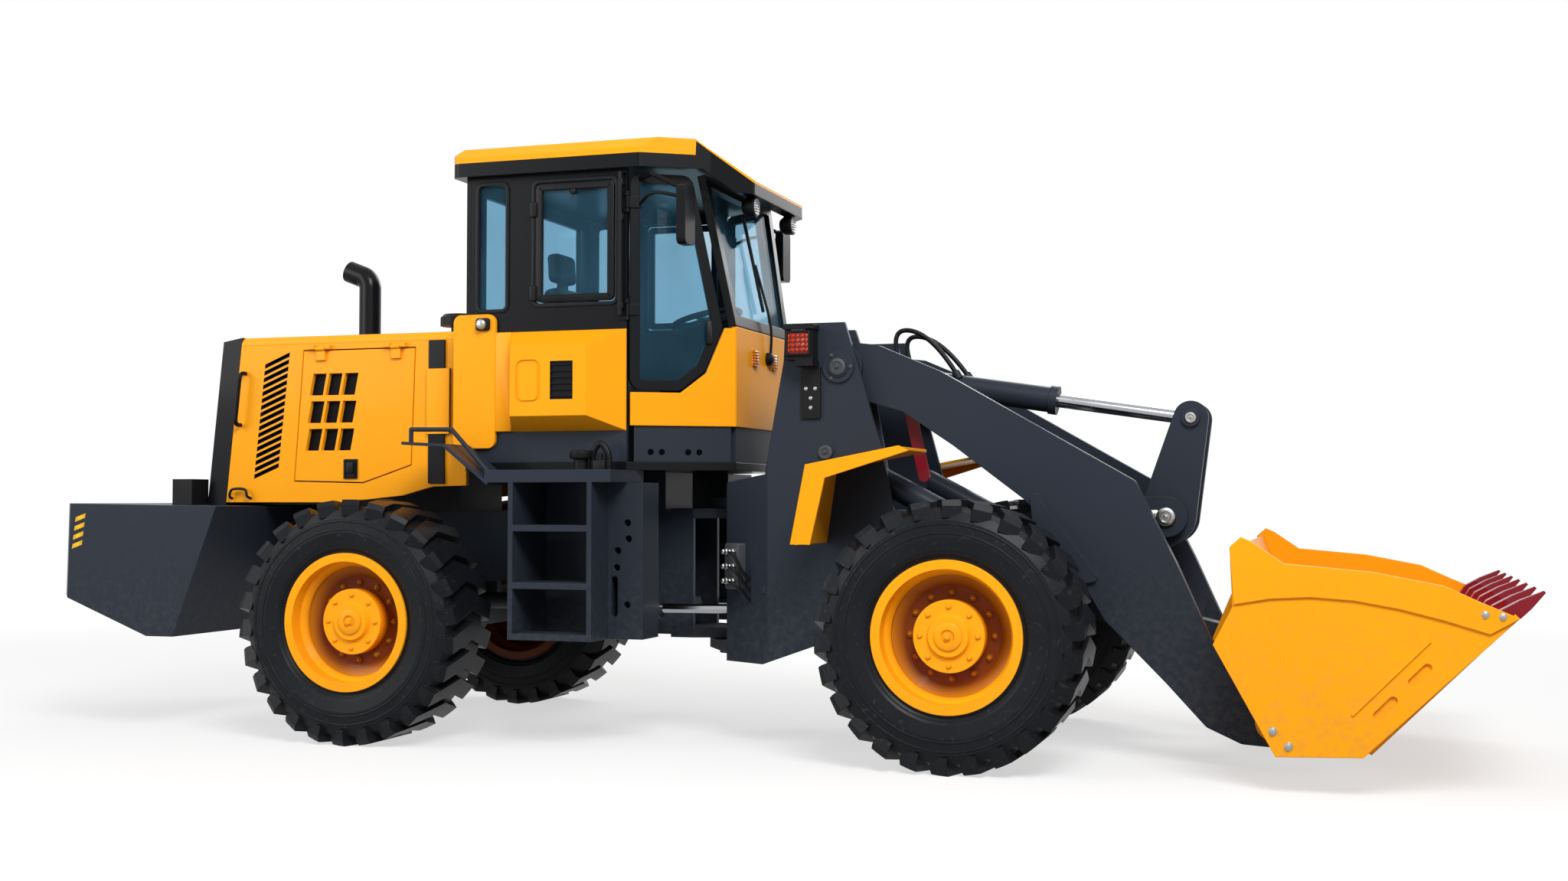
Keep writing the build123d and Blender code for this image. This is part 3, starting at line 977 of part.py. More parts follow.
def make_cab_door():
    """Left cab door frame with its hinge knuckles and the mirror on its arm."""
    face = door_outline()
    frame = face - offset(face, amount=-DOOR_FRAME, kind=Kind.INTERSECTION)
    plane = door_plane()
    door = extrude(plane * frame, amount=DOOR_THICK)
    x, y = cab_hinge_point()
    for foot in CAB_HINGE_FEET:
        low = foot + CAB_HINGE_BLOCK + CAB_HINGE_GAP
        high = foot + CAB_HINGE_LENGTH - CAB_HINGE_BLOCK - CAB_HINGE_GAP
        tongue = Pos(CAB_HINGE_SIDE + 29, (low + high) / 2) * Rectangle(58, high - low)
        pad = Pos(DOOR_EDGE + 24, (low + high) / 2) * Rectangle(40, high - low)
        knuckle = upright_pin(x, y, CAB_HINGE_KNUCKLE, low, high)
        knuckle += extrude(plane.offset(-CAB_HINGE_OUT) * tongue, amount=CAB_HINGE_OUT - CAB_HINGE_GAP)
        knuckle += extrude(plane.offset(-CAB_HINGE_GAP - 2) * pad, amount=CAB_HINGE_GAP + 2)
        door += knuckle - upright_pin(x, y, CAB_HINGE_PIN + PIN_CLEARANCE, low - 1, high + 1)
    root = tuple(plane.from_local_coords((60, DOOR_TOP - 27, 12)))
    elbow = (CAB_POST_X + 140, CAB_HALF + 25, DOOR_TOP - 17)
    tip = (CAB_POST_X + 305, CAB_HALF + 25, DOOR_TOP - 102)
    door += bar(root, elbow, MIRROR_ARM_RADIUS) + bar(elbow, tip, MIRROR_ARM_RADIUS)
    door += Pos(*elbow) * Sphere(MIRROR_ARM_RADIUS)
    case = Pos(0, 0) * Rectangle(130, 285)
    case = fillet(case.vertices(), 32)
    back = Plane(origin=(CAB_POST_X + 288, CAB_HALF + 25, DOOR_TOP - 224), x_dir=(0, 1, 0), z_dir=(1, 0, 0))
    return door + extrude(back * case, amount=46)


def make_door_glass():
    """Pane of the left cab door."""
    face = offset(door_outline(), amount=-DOOR_FRAME - SEAT_CLEARANCE, kind=Kind.INTERSECTION)
    plane = door_plane().offset(DOOR_THICK / 2 - GLASS_THICK / 2)
    return extrude(plane * face, amount=GLASS_THICK)


def make_cab_floor():
    """Cab floor, narrowing to the front."""
    half = CAB_HALF
    return plan_plate(outline([(CAB_REAR_X, -half), (CAB_POST_X, -half), (CAB_FRONT_X, -CAB_FRONT_HALF),
                               (CAB_FRONT_X, CAB_FRONT_HALF), (CAB_POST_X, half), (CAB_REAR_X, half)]),
                      CAB_FLOOR, CAB_FLOOR + CAB_FLOOR_PLATE)


def make_cab_rear_wall():
    """Rear wall of the cab with its window opening."""
    half = CAB_HALF - REAR_WINDOW_BORDER
    wall = box(CAB_REAR_X, CAB_REAR_X + CAB_WALL, -CAB_HALF, CAB_HALF, CAB_WALL_FOOT, CAB_TOP)
    return wall - box(CAB_REAR_X - 10, CAB_REAR_X + CAB_WALL + 10, -half, half, REAR_WINDOW_FOOT, REAR_WINDOW_TOP)


def make_cab_sides():
    """Straight side walls of the cab with two windows each and the hinge pins of the doors."""
    wall = box(CAB_REAR_X + CAB_WALL, CAB_POST_X, CAB_HALF - CAB_WALL, CAB_HALF, CAB_WALL_FOOT, CAB_TOP)
    for x_low, x_high, z_low, z_high in SIDE_WINDOWS:
        wall -= box(x_low, x_high, CAB_HALF - CAB_WALL - 5, CAB_HALF + 5, z_low, z_high)
    x, y = cab_hinge_point()
    for foot in CAB_HINGE_FEET:
        top = foot + CAB_HINGE_LENGTH
        wall += upright_pin(x, y, CAB_HINGE_PIN, foot, top)
        for low in (foot, top - CAB_HINGE_BLOCK):
            wall += upright_pin(x, y, CAB_HINGE_KNUCKLE, low, low + CAB_HINGE_BLOCK)
            wall += box(CAB_POST_X - 40, x, CAB_HALF, y, low, low + CAB_HINGE_BLOCK)
    return pair(wall)


def make_cab_nose():
    """Front wall and the two angled corner panels under the doors."""
    half = CAB_FRONT_HALF - 8
    wall = box(CAB_FRONT_X - CAB_WALL, CAB_FRONT_X, -half, half, CAB_BASE_TOP, CAB_SILL - 5)
    run = door_run()
    foot = DOOR_FOOT - 10
    face = outline([(18, CAB_BASE_TOP), (run - 0.8, CAB_BASE_TOP), (run - 0.8, CAB_SILL - 15),
                    (run - 57, CAB_SILL - 15), (run - 150, DOOR_FOOT + 88), (run - 277, foot), (18, foot)])
    return wall + pair(extrude(door_plane() * face, amount=CAB_WALL))


def make_cab_base():
    """Dark base panels under the nose, set back a little, with round holes in the corner panels."""
    half = CAB_FRONT_HALF - 30
    wall = box(CAB_FRONT_X - CAB_WALL - 12, CAB_FRONT_X - 12, -half, half, CAB_WALL_FOOT, CAB_BASE_TOP)
    run = door_run()
    middle = (CAB_WALL_FOOT + CAB_BASE_TOP) / 2
    face = Pos((18 + run) / 2, middle) * Rectangle(run - 60, CAB_BASE_TOP - CAB_WALL_FOOT)
    for along in (run - 420, run - 365, run - 235, run - 180):
        face -= Pos(along, middle - 40) * Circle(CAB_BASE_HOLE)
    return wall + pair(extrude(door_plane().offset(12) * face, amount=CAB_WALL))


def screen_plane():
    """Sloped plane of the windscreen: x runs to the left, y up the slope, normal outwards."""
    rise = CAB_TOP - CAB_SILL
    return Plane(origin=(CAB_FRONT_X, 0, CAB_SILL), x_dir=(0, 1, 0), z_dir=(rise, 0, CAB_FRONT_X - SCREEN_TOP_X))


def screen_outline():
    """Outline of the windscreen frame in its own plane."""
    slope = hypot(CAB_TOP - CAB_SILL, CAB_FRONT_X - SCREEN_TOP_X) - 8
    return outline([(-CAB_FRONT_HALF, 0), (CAB_FRONT_HALF, 0), (SCREEN_TOP_HALF, slope), (-SCREEN_TOP_HALF, slope)])


def make_cab_screen_frame():
    """Windscreen frame with its two sloped pillars."""
    face = screen_outline()
    frame = face - offset(face, amount=-SCREEN_FRAME, kind=Kind.INTERSECTION)
    return extrude(screen_plane() * frame, amount=-SCREEN_THICK)


def make_cab_roof():
    """Roof with a chamfered top edge and a visor that droops over the windscreen."""
    half = CAB_HALF + ROOF_OVERHANG
    rear = CAB_REAR_X - 60
    plan = outline([(rear, -half), (CAB_POST_X + 80, -half), (SCREEN_TOP_X + 60, -SCREEN_TOP_HALF - 70),
                    (VISOR_TIP_X, -VISOR_HALF), (VISOR_TIP_X, VISOR_HALF), (SCREEN_TOP_X + 60, SCREEN_TOP_HALF + 70),
                    (CAB_POST_X + 80, half), (rear, half)])
    plan = fillet(plan.vertices(), 40)
    side = outline([(rear - 10, CAB_TOP), (SCREEN_TOP_X + 25, CAB_TOP), (VISOR_TIP_X - 70, VISOR_TIP_FOOT),
                    (VISOR_TIP_X + 10, VISOR_TIP_FOOT), (VISOR_TIP_X + 10, VISOR_TIP_TOP),
                    (SCREEN_TOP_X - 5, ROOF_TOP), (rear + 45, ROOF_TOP), (rear - 10, ROOF_TOP - 55)])
    face = outline([(-half, VISOR_TIP_FOOT), (half, VISOR_TIP_FOOT), (half, ROOF_TOP - 50), (half - 50, ROOF_TOP),
                    (-half + 50, ROOF_TOP), (-half, ROOF_TOP - 50)])
    roof = plan_plate(plan, VISOR_TIP_FOOT, ROOF_TOP) & side_plate(side, -half, half)
    return roof & cross_plate(face, rear, VISOR_TIP_X)


def make_cab_glass():
    """Fixed panes of the cab."""
    fit = SEAT_CLEARANCE
    middle = CAB_HALF - CAB_WALL / 2
    thick = GLASS_THICK / 2
    x = CAB_REAR_X + CAB_WALL / 2
    half = CAB_HALF - REAR_WINDOW_BORDER - fit
    panes = box(x - thick, x + thick, -half, half, REAR_WINDOW_FOOT + fit, REAR_WINDOW_TOP - fit)
    for x_low, x_high, z_low, z_high in SIDE_WINDOWS:
        panes += pair(box(x_low + fit, x_high - fit, middle - thick, middle + thick, z_low + fit, z_high - fit))
    face = offset(screen_outline(), amount=-SCREEN_FRAME - fit, kind=Kind.INTERSECTION)
    return panes + extrude(screen_plane().offset(-SCREEN_THICK / 2) * face, amount=GLASS_THICK)


def make_seat():
    """Operator's seat on a pedestal."""
    seat = box(-2190, -1960, -180, 180, CAB_WALL_FOOT, 1690)
    seat += box(-2260, -1800, -240, 240, 1690, 1790)
    seat += Pos(-2270, 0, 2030) * Rot(0, -8, 0) * Box(110, 460, 560)
    seat += Pos(-2320, 0, 2400) * Box(80, 260, 170)
    return seat + box(-2330, -2310, -70, 70, 2260, 2340)


def make_steering_column():
    """Steering column with its wheel."""
    foot = (-1330, 0, CAB_WALL_FOOT + 60)
    head = (-1500, 0, 2110)
    column = bar(foot, head, 40) + box(-1400, -1270, -90, 90, CAB_WALL_FOOT, CAB_WALL_FOOT + 110)
    run = Vector(*head) - Vector(*foot)
    hub = Plane(origin=head, z_dir=run)
    wheel = hub * Torus(175, 15)
    spokes = hub * (Box(350, 26, 16) + Box(26, 350, 16))
    return column + wheel + spokes


def make_side_boxes():
    """Bevelled boxes under the side windows with a louvred vent, and the shoulder panels behind them."""
    base = Plane.XZ.offset(-CAB_HALF) * (Pos(-1945, 1755) * Rectangle(610, 490))
    face = Plane.XZ.offset(-BOX_OUTER) * (Pos(-1995, 1750) * Rectangle(400, 340))
    body = loft([base.faces()[0], face.faces()[0]])
    x_low, x_high, z_low, z_high = BOX_VENT
    body -= box(x_low, x_high, BOX_OUTER - BOX_VENT_DEPTH, BOX_OUTER + 1, z_low, z_high)
    pitch = (z_high - z_low) / BOX_LOUVRE_COUNT
    for index in range(BOX_LOUVRE_COUNT):
        z = z_low + (index + 0.35) * pitch
        body += box(x_low, x_high, BOX_OUTER - BOX_VENT_DEPTH, BOX_OUTER - 2, z, z + pitch * 0.3)
    x_low, x_high, z_low, z_high = BOX_GROOVE
    ring = fillet(Rectangle(x_high - x_low, z_high - z_low).vertices(), 40)
    ring -= offset(ring, amount=-BOX_GROOVE_WIDTH, kind=Kind.INTERSECTION)
    groove = Pos((x_low + x_high) / 2, (z_low + z_high) / 2) * ring
    body -= side_plate(groove, BOX_OUTER - BOX_GROOVE_DEPTH, BOX_OUTER + 1)
    shoulder = outline([(HOOD_FRONT_X, 1430), (-2330, 1430), (-2330, 2090), (HOOD_FRONT_X, 2090)])
    shoulder = fillet(shoulder.vertices(), 40)
    return pair(body + side_plate(shoulder, CAB_HALF, CAB_HALF + 20))


def make_steps():
    """Platforms, steps, drilled side plates and rear mudguards with their rails on both sides."""
    inner, rear, front = STEP_WALL_INNER, STEP_REAR_X, STEP_FRONT_X
    steps = box(rear - 125, front + 95, inner, STEP_OUTER, PLATFORM_FOOT, CAB_FLOOR)
    steps += box(rear - 75, front + HOLE_PLATE_LENGTH, inner, inner + STEP_PLATE, STEP_FOOT, PLATFORM_FOOT)
    steps += box(front - STEP_PLATE, front, inner, STEP_OUTER, STEP_FOOT, PLATFORM_FOOT)
    steps += box(rear, rear + STEP_PLATE, inner, STEP_OUTER, STEP_FOOT, PLATFORM_FOOT)
    for height in STEP_HEIGHTS:
        steps += box(rear, front, STEP_TREAD_INNER, STEP_OUTER, height - STEP_TREAD_THICK, height)
    plate = outline([(front - 10, STEP_FOOT), (front + HOLE_PLATE_LENGTH, STEP_FOOT),
                     (front + HOLE_PLATE_LENGTH, PLATFORM_FOOT), (front - 10, PLATFORM_FOOT)])
    for along, z in HOLE_PLATE_HOLES:
        plate -= Pos(front + along, z) * Circle(HOLE_RADIUS)
    plate -= tapered_plate([(front + 30, 640, HOLE_RADIUS), (front + 30, 800, HOLE_RADIUS)])
    steps += side_plate(plate, HOLE_PLATE_OUTER - STEP_PLATE, HOLE_PLATE_OUTER)
    end = front + HOLE_PLATE_LENGTH
    steps += box(end - STEP_PLATE, end, inner, HOLE_PLATE_OUTER, STEP_FOOT, PLATFORM_FOOT)
    steps += box(rear - 75, rear + 75, RAIL_HALF, inner, 900, 1000)
    line = [(rear - 570, 1459), (rear - 342, 1446), (rear - 104, PLATFORM_FOOT)]
    back = list(reversed(shifted_line(line, -MUDGUARD_THICK)))
    steps += side_plate(outline(line + back), MUDGUARD_INNER, STEP_OUTER)
    rail_y = STEP_OUTER - 50
    rail = [(rear - 546, rail_y, 1450), (rear - 546, rail_y, 1519), (rear - 326, rail_y, 1516),
            (rear - 120, rail_y, 1300)]
    for start, end in zip(rail, rail[1:]):
        steps += bar(start, end, GUARD_RAIL_RADIUS)
    steps += [Pos(*point) * Sphere(GUARD_RAIL_RADIUS) for point in rail[1:-1]]
    return pair(steps)


def make_engine_block():
    """Engine as one plain block at its place between the rails, on four feet."""
    engine = box(ENGINE_REAR_X, ENGINE_FRONT_X, -ENGINE_HALF, ENGINE_HALF, ENGINE_FOOT, ENGINE_TOP)
    for x in (ENGINE_REAR_X + 40, ENGINE_FRONT_X - 160):
        engine += pair(box(x, x + 120, ENGINE_HALF, RAIL_HALF - RAIL_THICK, 900, 1050))
    return engine


def make_rear_lamps():
    """Tail lamps on the counterweight."""
    rear, front = REAR_AXLE_X - 1290, REAR_AXLE_X - 1170
    top = weight_top_z(front) + 135
    face = outline([(rear, weight_top_z(rear)), (front, weight_top_z(front)), (front, top), (rear, top)])
    return pair(side_plate(face, HOOD_HALF - 40, HOOD_HALF + 100))


def loader_nodes():
    """All pieces by name, laid out from the front axle."""
    nodes = {
        "rear_chassis": make_rear_chassis(),
        "counterweight": make_counterweight(),
        "engine_block": make_engine_block(),
        "hood_top": make_hood_top(),
        "hood_sides": make_hood_sides(),
        "rear_grille": make_rear_grille(),
        "exhaust": make_exhaust(),
        "precleaner": make_precleaner(),
        "hood_trim": make_hood_trim(),
        "side_boxes": make_side_boxes(),
        "steps": make_steps(),
        "rear_lamps": make_rear_lamps(),
        "rear_axle": make_axle(REAR_AXLE_X, 262, 308, RAIL_FOOT, -1540),
        "cab_floor": make_cab_floor(),
        "cab_rear_wall": make_cab_rear_wall(),
        "cab_sides": make_cab_sides(),
        "cab_nose": make_cab_nose(),
        "cab_base": make_cab_base(),
        "cab_screen_frame": make_cab_screen_frame(),
        "cab_roof": make_cab_roof(),
        "cab_glass": make_cab_glass(),
        "seat": make_seat(),
        "steering_column": make_steering_column(),
        "front_chassis": make_front_chassis(),
        "front_fenders": make_front_fenders(),
        "front_axle": make_axle(0.0, 370, 410, 760, -900),
        "front_lamps": make_front_lamps(),
        "boom": make_boom(),
        "safety_strut": make_safety_strut(),
        "rocker": make_rocker(),
        "bucket_link": make_bucket_link(),
        "bucket": make_bucket(),
        "bucket_teeth": make_bucket_teeth(),
    }
    for name, maker in (("cab_door", make_cab_door), ("door_glass", make_door_glass),
                        ("engine_door", make_engine_door)):
        left = maker()
        nodes[f"{name}_left"] = left
        nodes[f"{name}_right"] = mirror(left, about=Plane.XZ)
    nodes.update(cylinder_nodes())
    nodes.update(wheel_nodes())
    return nodes


def middle_x():
    """X of the middle of the machine's length, from the counterweight to the teeth's tips."""
    rear = min(point[0] for point in WEIGHT_SIDE)
    front = max(lip_point(TOOTH_REACH, 10)[0], lip_point(TOOTH_REACH, -4)[0])
    return (rear + front) / 2


def main():
    """Write one file for each piece, moved to the middle of the machine's length."""
    os.makedirs("parts", exist_ok=True)
    for name, shape in loader_nodes().items():
        export_step(Pos(-middle_x(), 0, 0) * shape, f"parts/{name}.step")


if __name__ == "__main__":
    main()
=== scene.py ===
"""Finishes, small fittings and studio of the wheel loader, in metres.

In a fitting's place x is measured ahead of the front axle. What sits on both sides is built on the left and
mirrored.
"""
from dataclasses import dataclass, replace
from itertools import product
from math import pi, radians
from typing import Any, Sequence

import bmesh
import bpy
import numpy as np
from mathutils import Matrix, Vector


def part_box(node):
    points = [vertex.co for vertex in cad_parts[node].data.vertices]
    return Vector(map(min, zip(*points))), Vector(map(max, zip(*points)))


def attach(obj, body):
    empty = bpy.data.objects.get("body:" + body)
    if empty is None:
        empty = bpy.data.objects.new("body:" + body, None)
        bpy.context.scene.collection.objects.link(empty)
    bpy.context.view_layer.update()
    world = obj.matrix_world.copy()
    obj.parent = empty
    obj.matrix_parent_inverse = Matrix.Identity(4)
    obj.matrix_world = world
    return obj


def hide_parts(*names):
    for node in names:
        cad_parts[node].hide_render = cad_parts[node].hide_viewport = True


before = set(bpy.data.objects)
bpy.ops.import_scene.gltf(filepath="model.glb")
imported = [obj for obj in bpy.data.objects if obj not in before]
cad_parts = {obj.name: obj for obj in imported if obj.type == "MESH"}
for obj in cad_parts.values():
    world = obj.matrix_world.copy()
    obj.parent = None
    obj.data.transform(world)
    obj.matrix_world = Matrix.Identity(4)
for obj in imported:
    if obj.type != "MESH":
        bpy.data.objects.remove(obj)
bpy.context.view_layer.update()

Colour = tuple[float, float, float]
Point = tuple[float, float, float]
Line = Sequence[Sequence[float]]
Array = np.ndarray
Material = bpy.types.Material

SIDES = {"left": 1.0, "right": -1.0}
AHEAD = (1.0, 0.0, 0.0)
LEFT = (0.0, 1.0, 0.0)
UP = (0.0, 0.0, 1.0)


def middle_of(node: str) -> Array:
    """Middle of a CAD node's box."""
    return np.mean(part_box(node), axis=0)


AXLE = middle_of("tyre_front_left") * AHEAD
AXLE_X = float(AXLE[0])


class Signal:
    """A shader socket that takes part in arithmetic; every operator adds one Math node."""

    def __init__(self, graph: "Graph", socket: bpy.types.NodeSocket) -> None:
        """Keep the socket and the graph that it belongs to."""
        self.graph = graph
        self.socket = socket

    def __add__(self, other: Any) -> "Signal":
        return self.graph.math("ADD", self, other)

    __radd__ = __add__

    def __sub__(self, other: Any) -> "Signal":
        return self.graph.math("SUBTRACT", self, other)

    def __rsub__(self, other: Any) -> "Signal":
        return self.graph.math("SUBTRACT", other, self)

    def __mul__(self, other: Any) -> "Signal":
        return self.graph.math("MULTIPLY", self, other)

    __rmul__ = __mul__

    def __truediv__(self, other: Any) -> "Signal":
        return self.graph.math("DIVIDE", self, other)

    def clamped(self) -> "Signal":
        """The value kept between 0 and 1."""
        return self.graph.math("ADD", self, 0.0, clamp=True)

    def above(self, level: Any, blur: float) -> "Signal":
        """Mask that rises from 0 to 1 over a band of the given width round a level."""
        return self.graph.math("ADD", (self - level) / blur, 0.5, clamp=True)

    def between(self, low: float, high: float, blur: float) -> "Signal":
        """Mask of 1 between two levels."""
        return self.above(low, blur) * (1.0 - self.above(high, blur))


class Graph:
    """The nodes of one new material, or of a new world."""

    def __init__(self, name: str, store: Any = None) -> None:
        """Start without nodes, in the store of materials if no other is given."""
        self.owner = (bpy.data.materials if store is None else store).new(name)
        self.owner.use_nodes = True
        self.tree = self.owner.node_tree
        self.tree.nodes.clear()

    def node(self, kind: str, inputs: dict | None = None, output: Any = 0, **settings: Any) -> Signal:
        """Add a node with inputs by socket and settings by name, and return one of its outputs."""
        made = self.tree.nodes.new(kind)
        for key, value in settings.items():
            setattr(made, key, value)
        for key, value in (inputs or {}).items():
            if isinstance(value, Signal):
                self.tree.links.new(value.socket, made.inputs[key])
            else:
                made.inputs[key].default_value = value
        return Signal(self, made.outputs[output])

    def math(self, operation: str, first: Any, second: Any = 0.0, clamp: bool = False) -> Signal:
        """Join two numbers or signals by one Math node."""
        return self.node("ShaderNodeMath", {0: first, 1: second}, operation=operation, use_clamp=clamp)

    def place(self) -> Signal:
        """Object coordinates of the surface."""
        return self.node("ShaderNodeTexCoord", output="Object")

    def axis(self, letter: str) -> Signal:
        """One Object coordinate of the surface."""
        return self.node("ShaderNodeSeparateXYZ", {0: self.place()}, letter)

    def noise(self, scale: float, detail: float = 4.0) -> Signal:
        """Cloudy pattern in Object coordinates, between 0 and 1."""
        inputs = {"Vector": self.place(), "Scale": scale, "Detail": detail, "Roughness": 0.55}
        return self.node("ShaderNodeTexNoise", inputs)

    def blend(self, mask: Any, first: Any, second: Any) -> Signal:
        """Colour that goes from the first to the second with a mask."""
        ends = [end if isinstance(end, Signal) else (*end, 1.0) for end in (first, second)]
        inputs = {0: mask, 6: ends[0], 7: ends[1]}
        return self.node("ShaderNodeMix", inputs, 2, data_type="RGBA", clamp_factor=True)

    def bump(self, height: Signal, depth: float, edge: float = 0.0) -> Signal:
        """Normal bent by a height pattern of the given depth, with sharp edges rounded over a radius."""
        inputs = {"Height": height, "Distance": depth, "Strength": 1.0}
        if edge:
            inputs["Normal"] = self.node("ShaderNodeBevel", {"Radius": edge}, samples=4)
        return self.node("ShaderNodeBump", inputs)

    def seen(self) -> Signal:
        """Mask of the rays that show the background: from the camera, off shiny surfaces or through glass."""
        camera, glossy, through = (self.ray(kind) for kind in ("Camera", "Glossy", "Transmission"))
        return (camera + glossy + through).clamped()

    def ray(self, kind: str) -> Signal:
        """Mask of the rays of one kind."""
        return self.node("ShaderNodeLightPath", output=f"Is {kind} Ray")

    def principled(self, **inputs: Any) -> Signal:
        """Principled shader; underscores stand for the spaces in the names of its sockets."""
        return self.node("ShaderNodeBsdfPrincipled", {key.replace("_", " "): inputs[key] for key in inputs})

    def close(self, shader: Signal, end: str = "Material") -> Any:
        """Show a shader on the surface, and return the finished material or world."""
        last = self.tree.nodes.new(f"ShaderNodeOutput{end}")
        self.tree.links.new(shader.socket, last.inputs["Surface"])
        return self.owner

    def surface(self, **inputs: Any) -> Material:
        """Finish the material with one principled shader."""
        return self.close(self.principled(**inputs))


@dataclass(frozen=True)
class Zone:
    """Block of space, y measured out from the middle plane on both sides."""

    x_low: float = -9.0
    x_high: float = 9.0
    y_low: float = -1.0
    z_low: float = -1.0
    z_high: float = 9.0
    blur: float = 0.001

    def mask(self, graph: Graph) -> Signal:
        """Mask of 1 inside the block, as the product of its five bounds."""
        along = graph.axis("X").between(self.x_low + AXLE_X, self.x_high + AXLE_X, self.blur)
        height = graph.axis("Z").between(self.z_low, self.z_high, self.blur)
        return along * height * graph.math("ABSOLUTE", graph.axis("Y")).above(self.y_low, self.blur)


@dataclass(frozen=True)
class Bars:
    """Column of slanted bars beside the hood's sloped rear edge, and the grab handle behind them."""

    edge_x: float = -3.970
    edge_z: float = 1.165
    edge_slope: float = 0.1037
    set_in: float = 0.156
    width: float = 0.149
    lean: float = 0.060
    foot: float = 1.2862
    pitch: float = 0.036
    count: int = 17
    share: float = 0.66
    handle: Zone = Zone(x_high=-3.70, y_low=0.6065, z_low=1.3, z_high=1.95)

    def mask(self, graph: Graph) -> Signal:
        """Mask of bars and handle: each bar rises across the column and fills a share of its pitch."""
        x, z = graph.axis("X"), graph.axis("Z")
        from_edge = x - (self.edge_x + AXLE_X + self.set_in) - (z - self.edge_z) * self.edge_slope
        across = from_edge / (self.width - self.edge_slope * self.lean)
        rise = z - self.lean * across - self.foot
        bar = 1.0 - graph.math("FRACT", rise / self.pitch).above(self.share, blur=0.06)
        column = across.between(0.0, 1.0, blur=0.01) * rise.between(0.0, self.pitch * self.count, blur=0.001)
        return bar * column + self.handle.mask(graph)


@dataclass(frozen=True)
class Eaves:
    """Roof below a level that falls with the visor, which keeps only its top skin."""

    visor_x: float = -1.328
    visor_fall: float = 0.807
    visor_skin: float = 0.070
    rim_top: float = 2.838
    blur: float = 0.002

    def mask(self, graph: Graph) -> Signal:
        """Mask of 1 below the level."""
        ahead = graph.math("MAXIMUM", graph.axis("X") - (self.visor_x + AXLE_X), 0.0)
        skin = self.visor_skin * ahead.above(self.blur, self.blur)
        return 1.0 - graph.axis("Z").above(self.rim_top - self.visor_fall * ahead + skin, self.blur)


YELLOW_TINT = (1.0, 0.385, 0.006)
# Painted shade of the recessed wheel dish, standing in for the shade that falls in it
DISH_SHADE_TINT = (0.19, 0.036, 0.001)
BLACK_TINT = (0.005, 0.0055, 0.007)
SLATE_TINT = (0.024, 0.0305, 0.044)
DUST_TINT = (0.16, 0.14, 0.115)
SCUFF_TINT = (0.085, 0.08, 0.075)
# Painted shade in the gaps of the wire mesh, for the dark space behind it
GAP_SHADE_TINT = (0.002, 0.002, 0.003)


def scaled(tint: Colour, share: float, lift: float = 0.0) -> Colour:
    """A share of a colour, lifted by an even amount."""
    return tuple(min(1.0, share * part + lift) for part in tint)


def enamel(name: str, tint: Colour, roughness: float = 0.26, coat: float = 0.05, dust: float = 0.0,
           area: Zone | Bars | Eaves | None = None, second: Colour = BLACK_TINT) -> Material:
    """Sprayed machine paint with a fine skin, dust near the ground and a second colour on one area."""
    graph = Graph(name)
    cloud = graph.noise(scale=1.6)
    grit = graph.noise(scale=30.0, detail=7.0).above(0.55, blur=0.25)
    dirt = ((1.0 - graph.axis("Z")).clamped() * grit * dust).clamped()
    shade = graph.blend(cloud.above(0.5, blur=0.8), scaled(tint, 0.9), tint)
    if area:
        shade = graph.blend(area.mask(graph), shade, second)
    skin = graph.bump(graph.noise(scale=240.0, detail=2.0), depth=0.00012, edge=0.006)
    return graph.surface(Base_Color=graph.blend(dirt, shade, DUST_TINT), Normal=skin, Coat_Weight=coat,
                         Roughness=roughness + 0.10 * cloud + 0.35 * dirt, Coat_Roughness=0.10,
                         Specular_IOR_Level=0.10)


def moulded(name: str, tint: Colour, roughness: float, ribs: float = 0.0) -> Material:
    """Moulded plastic with a fine grain; a lens has crossed ribs instead."""
    graph = Graph(name)
    cloud = graph.noise(scale=6.0)
    lighter = scaled(tint, 1.5, lift=0.003)
    if ribs:
        inputs = {"Vector": graph.place(), "Scale": ribs}
        rows, columns = (graph.node("ShaderNodeTexWave", inputs, bands_direction=way, wave_profile="TRI")
                         for way in "ZX")
        shade = graph.blend(rows * columns, scaled(tint, 0.35), lighter)
        skin = graph.bump(rows + columns, depth=0.003)
    else:
        grain = graph.node("ShaderNodeTexVoronoi", {"Vector": graph.place(), "Scale": 420.0})
        shade = graph.blend(cloud.above(0.55, blur=0.5), tint, lighter)
        skin = graph.bump(grain, depth=0.0003, edge=0.004)
    return graph.surface(Base_Color=shade, Roughness=roughness + 0.12 * cloud, Normal=skin,
                         Specular_IOR_Level=0.14)


def rubber(name: str, tint: Colour) -> Material:
    """Tyre rubber with a faint sheen, mould grain and pale scuffs."""
    graph = Graph(name)
    cloud = graph.noise(scale=5.0, detail=5.0)
    scuff = graph.noise(scale=46.0, detail=7.0).above(0.66, blur=0.12)
    shade = graph.blend(0.5 * cloud, tint, scaled(tint, 2.4, lift=0.004))
    skin = graph.bump(graph.noise(scale=150.0, detail=5.0), depth=0.0006, edge=0.005)
    return graph.surface(Base_Color=graph.blend(0.25 * scuff, shade, SCUFF_TINT), Normal=skin,
                         Roughness=0.27 + 0.18 * cloud, Specular_IOR_Level=0.13)


def metal(name: str, tint: Colour, roughness: float) -> Material:
    """Bare or plated metal with fine rubbed patches."""
    graph = Graph(name)
    cloud = graph.noise(scale=9.0, detail=5.0)
    skin = graph.bump(graph.noise(scale=320.0, detail=2.0), depth=0.00005, edge=0.002)
    return graph.surface(Base_Color=graph.blend(cloud, scaled(tint, 0.8), tint), Metallic=1.0, Normal=skin,
                         Roughness=roughness + 0.08 * cloud)


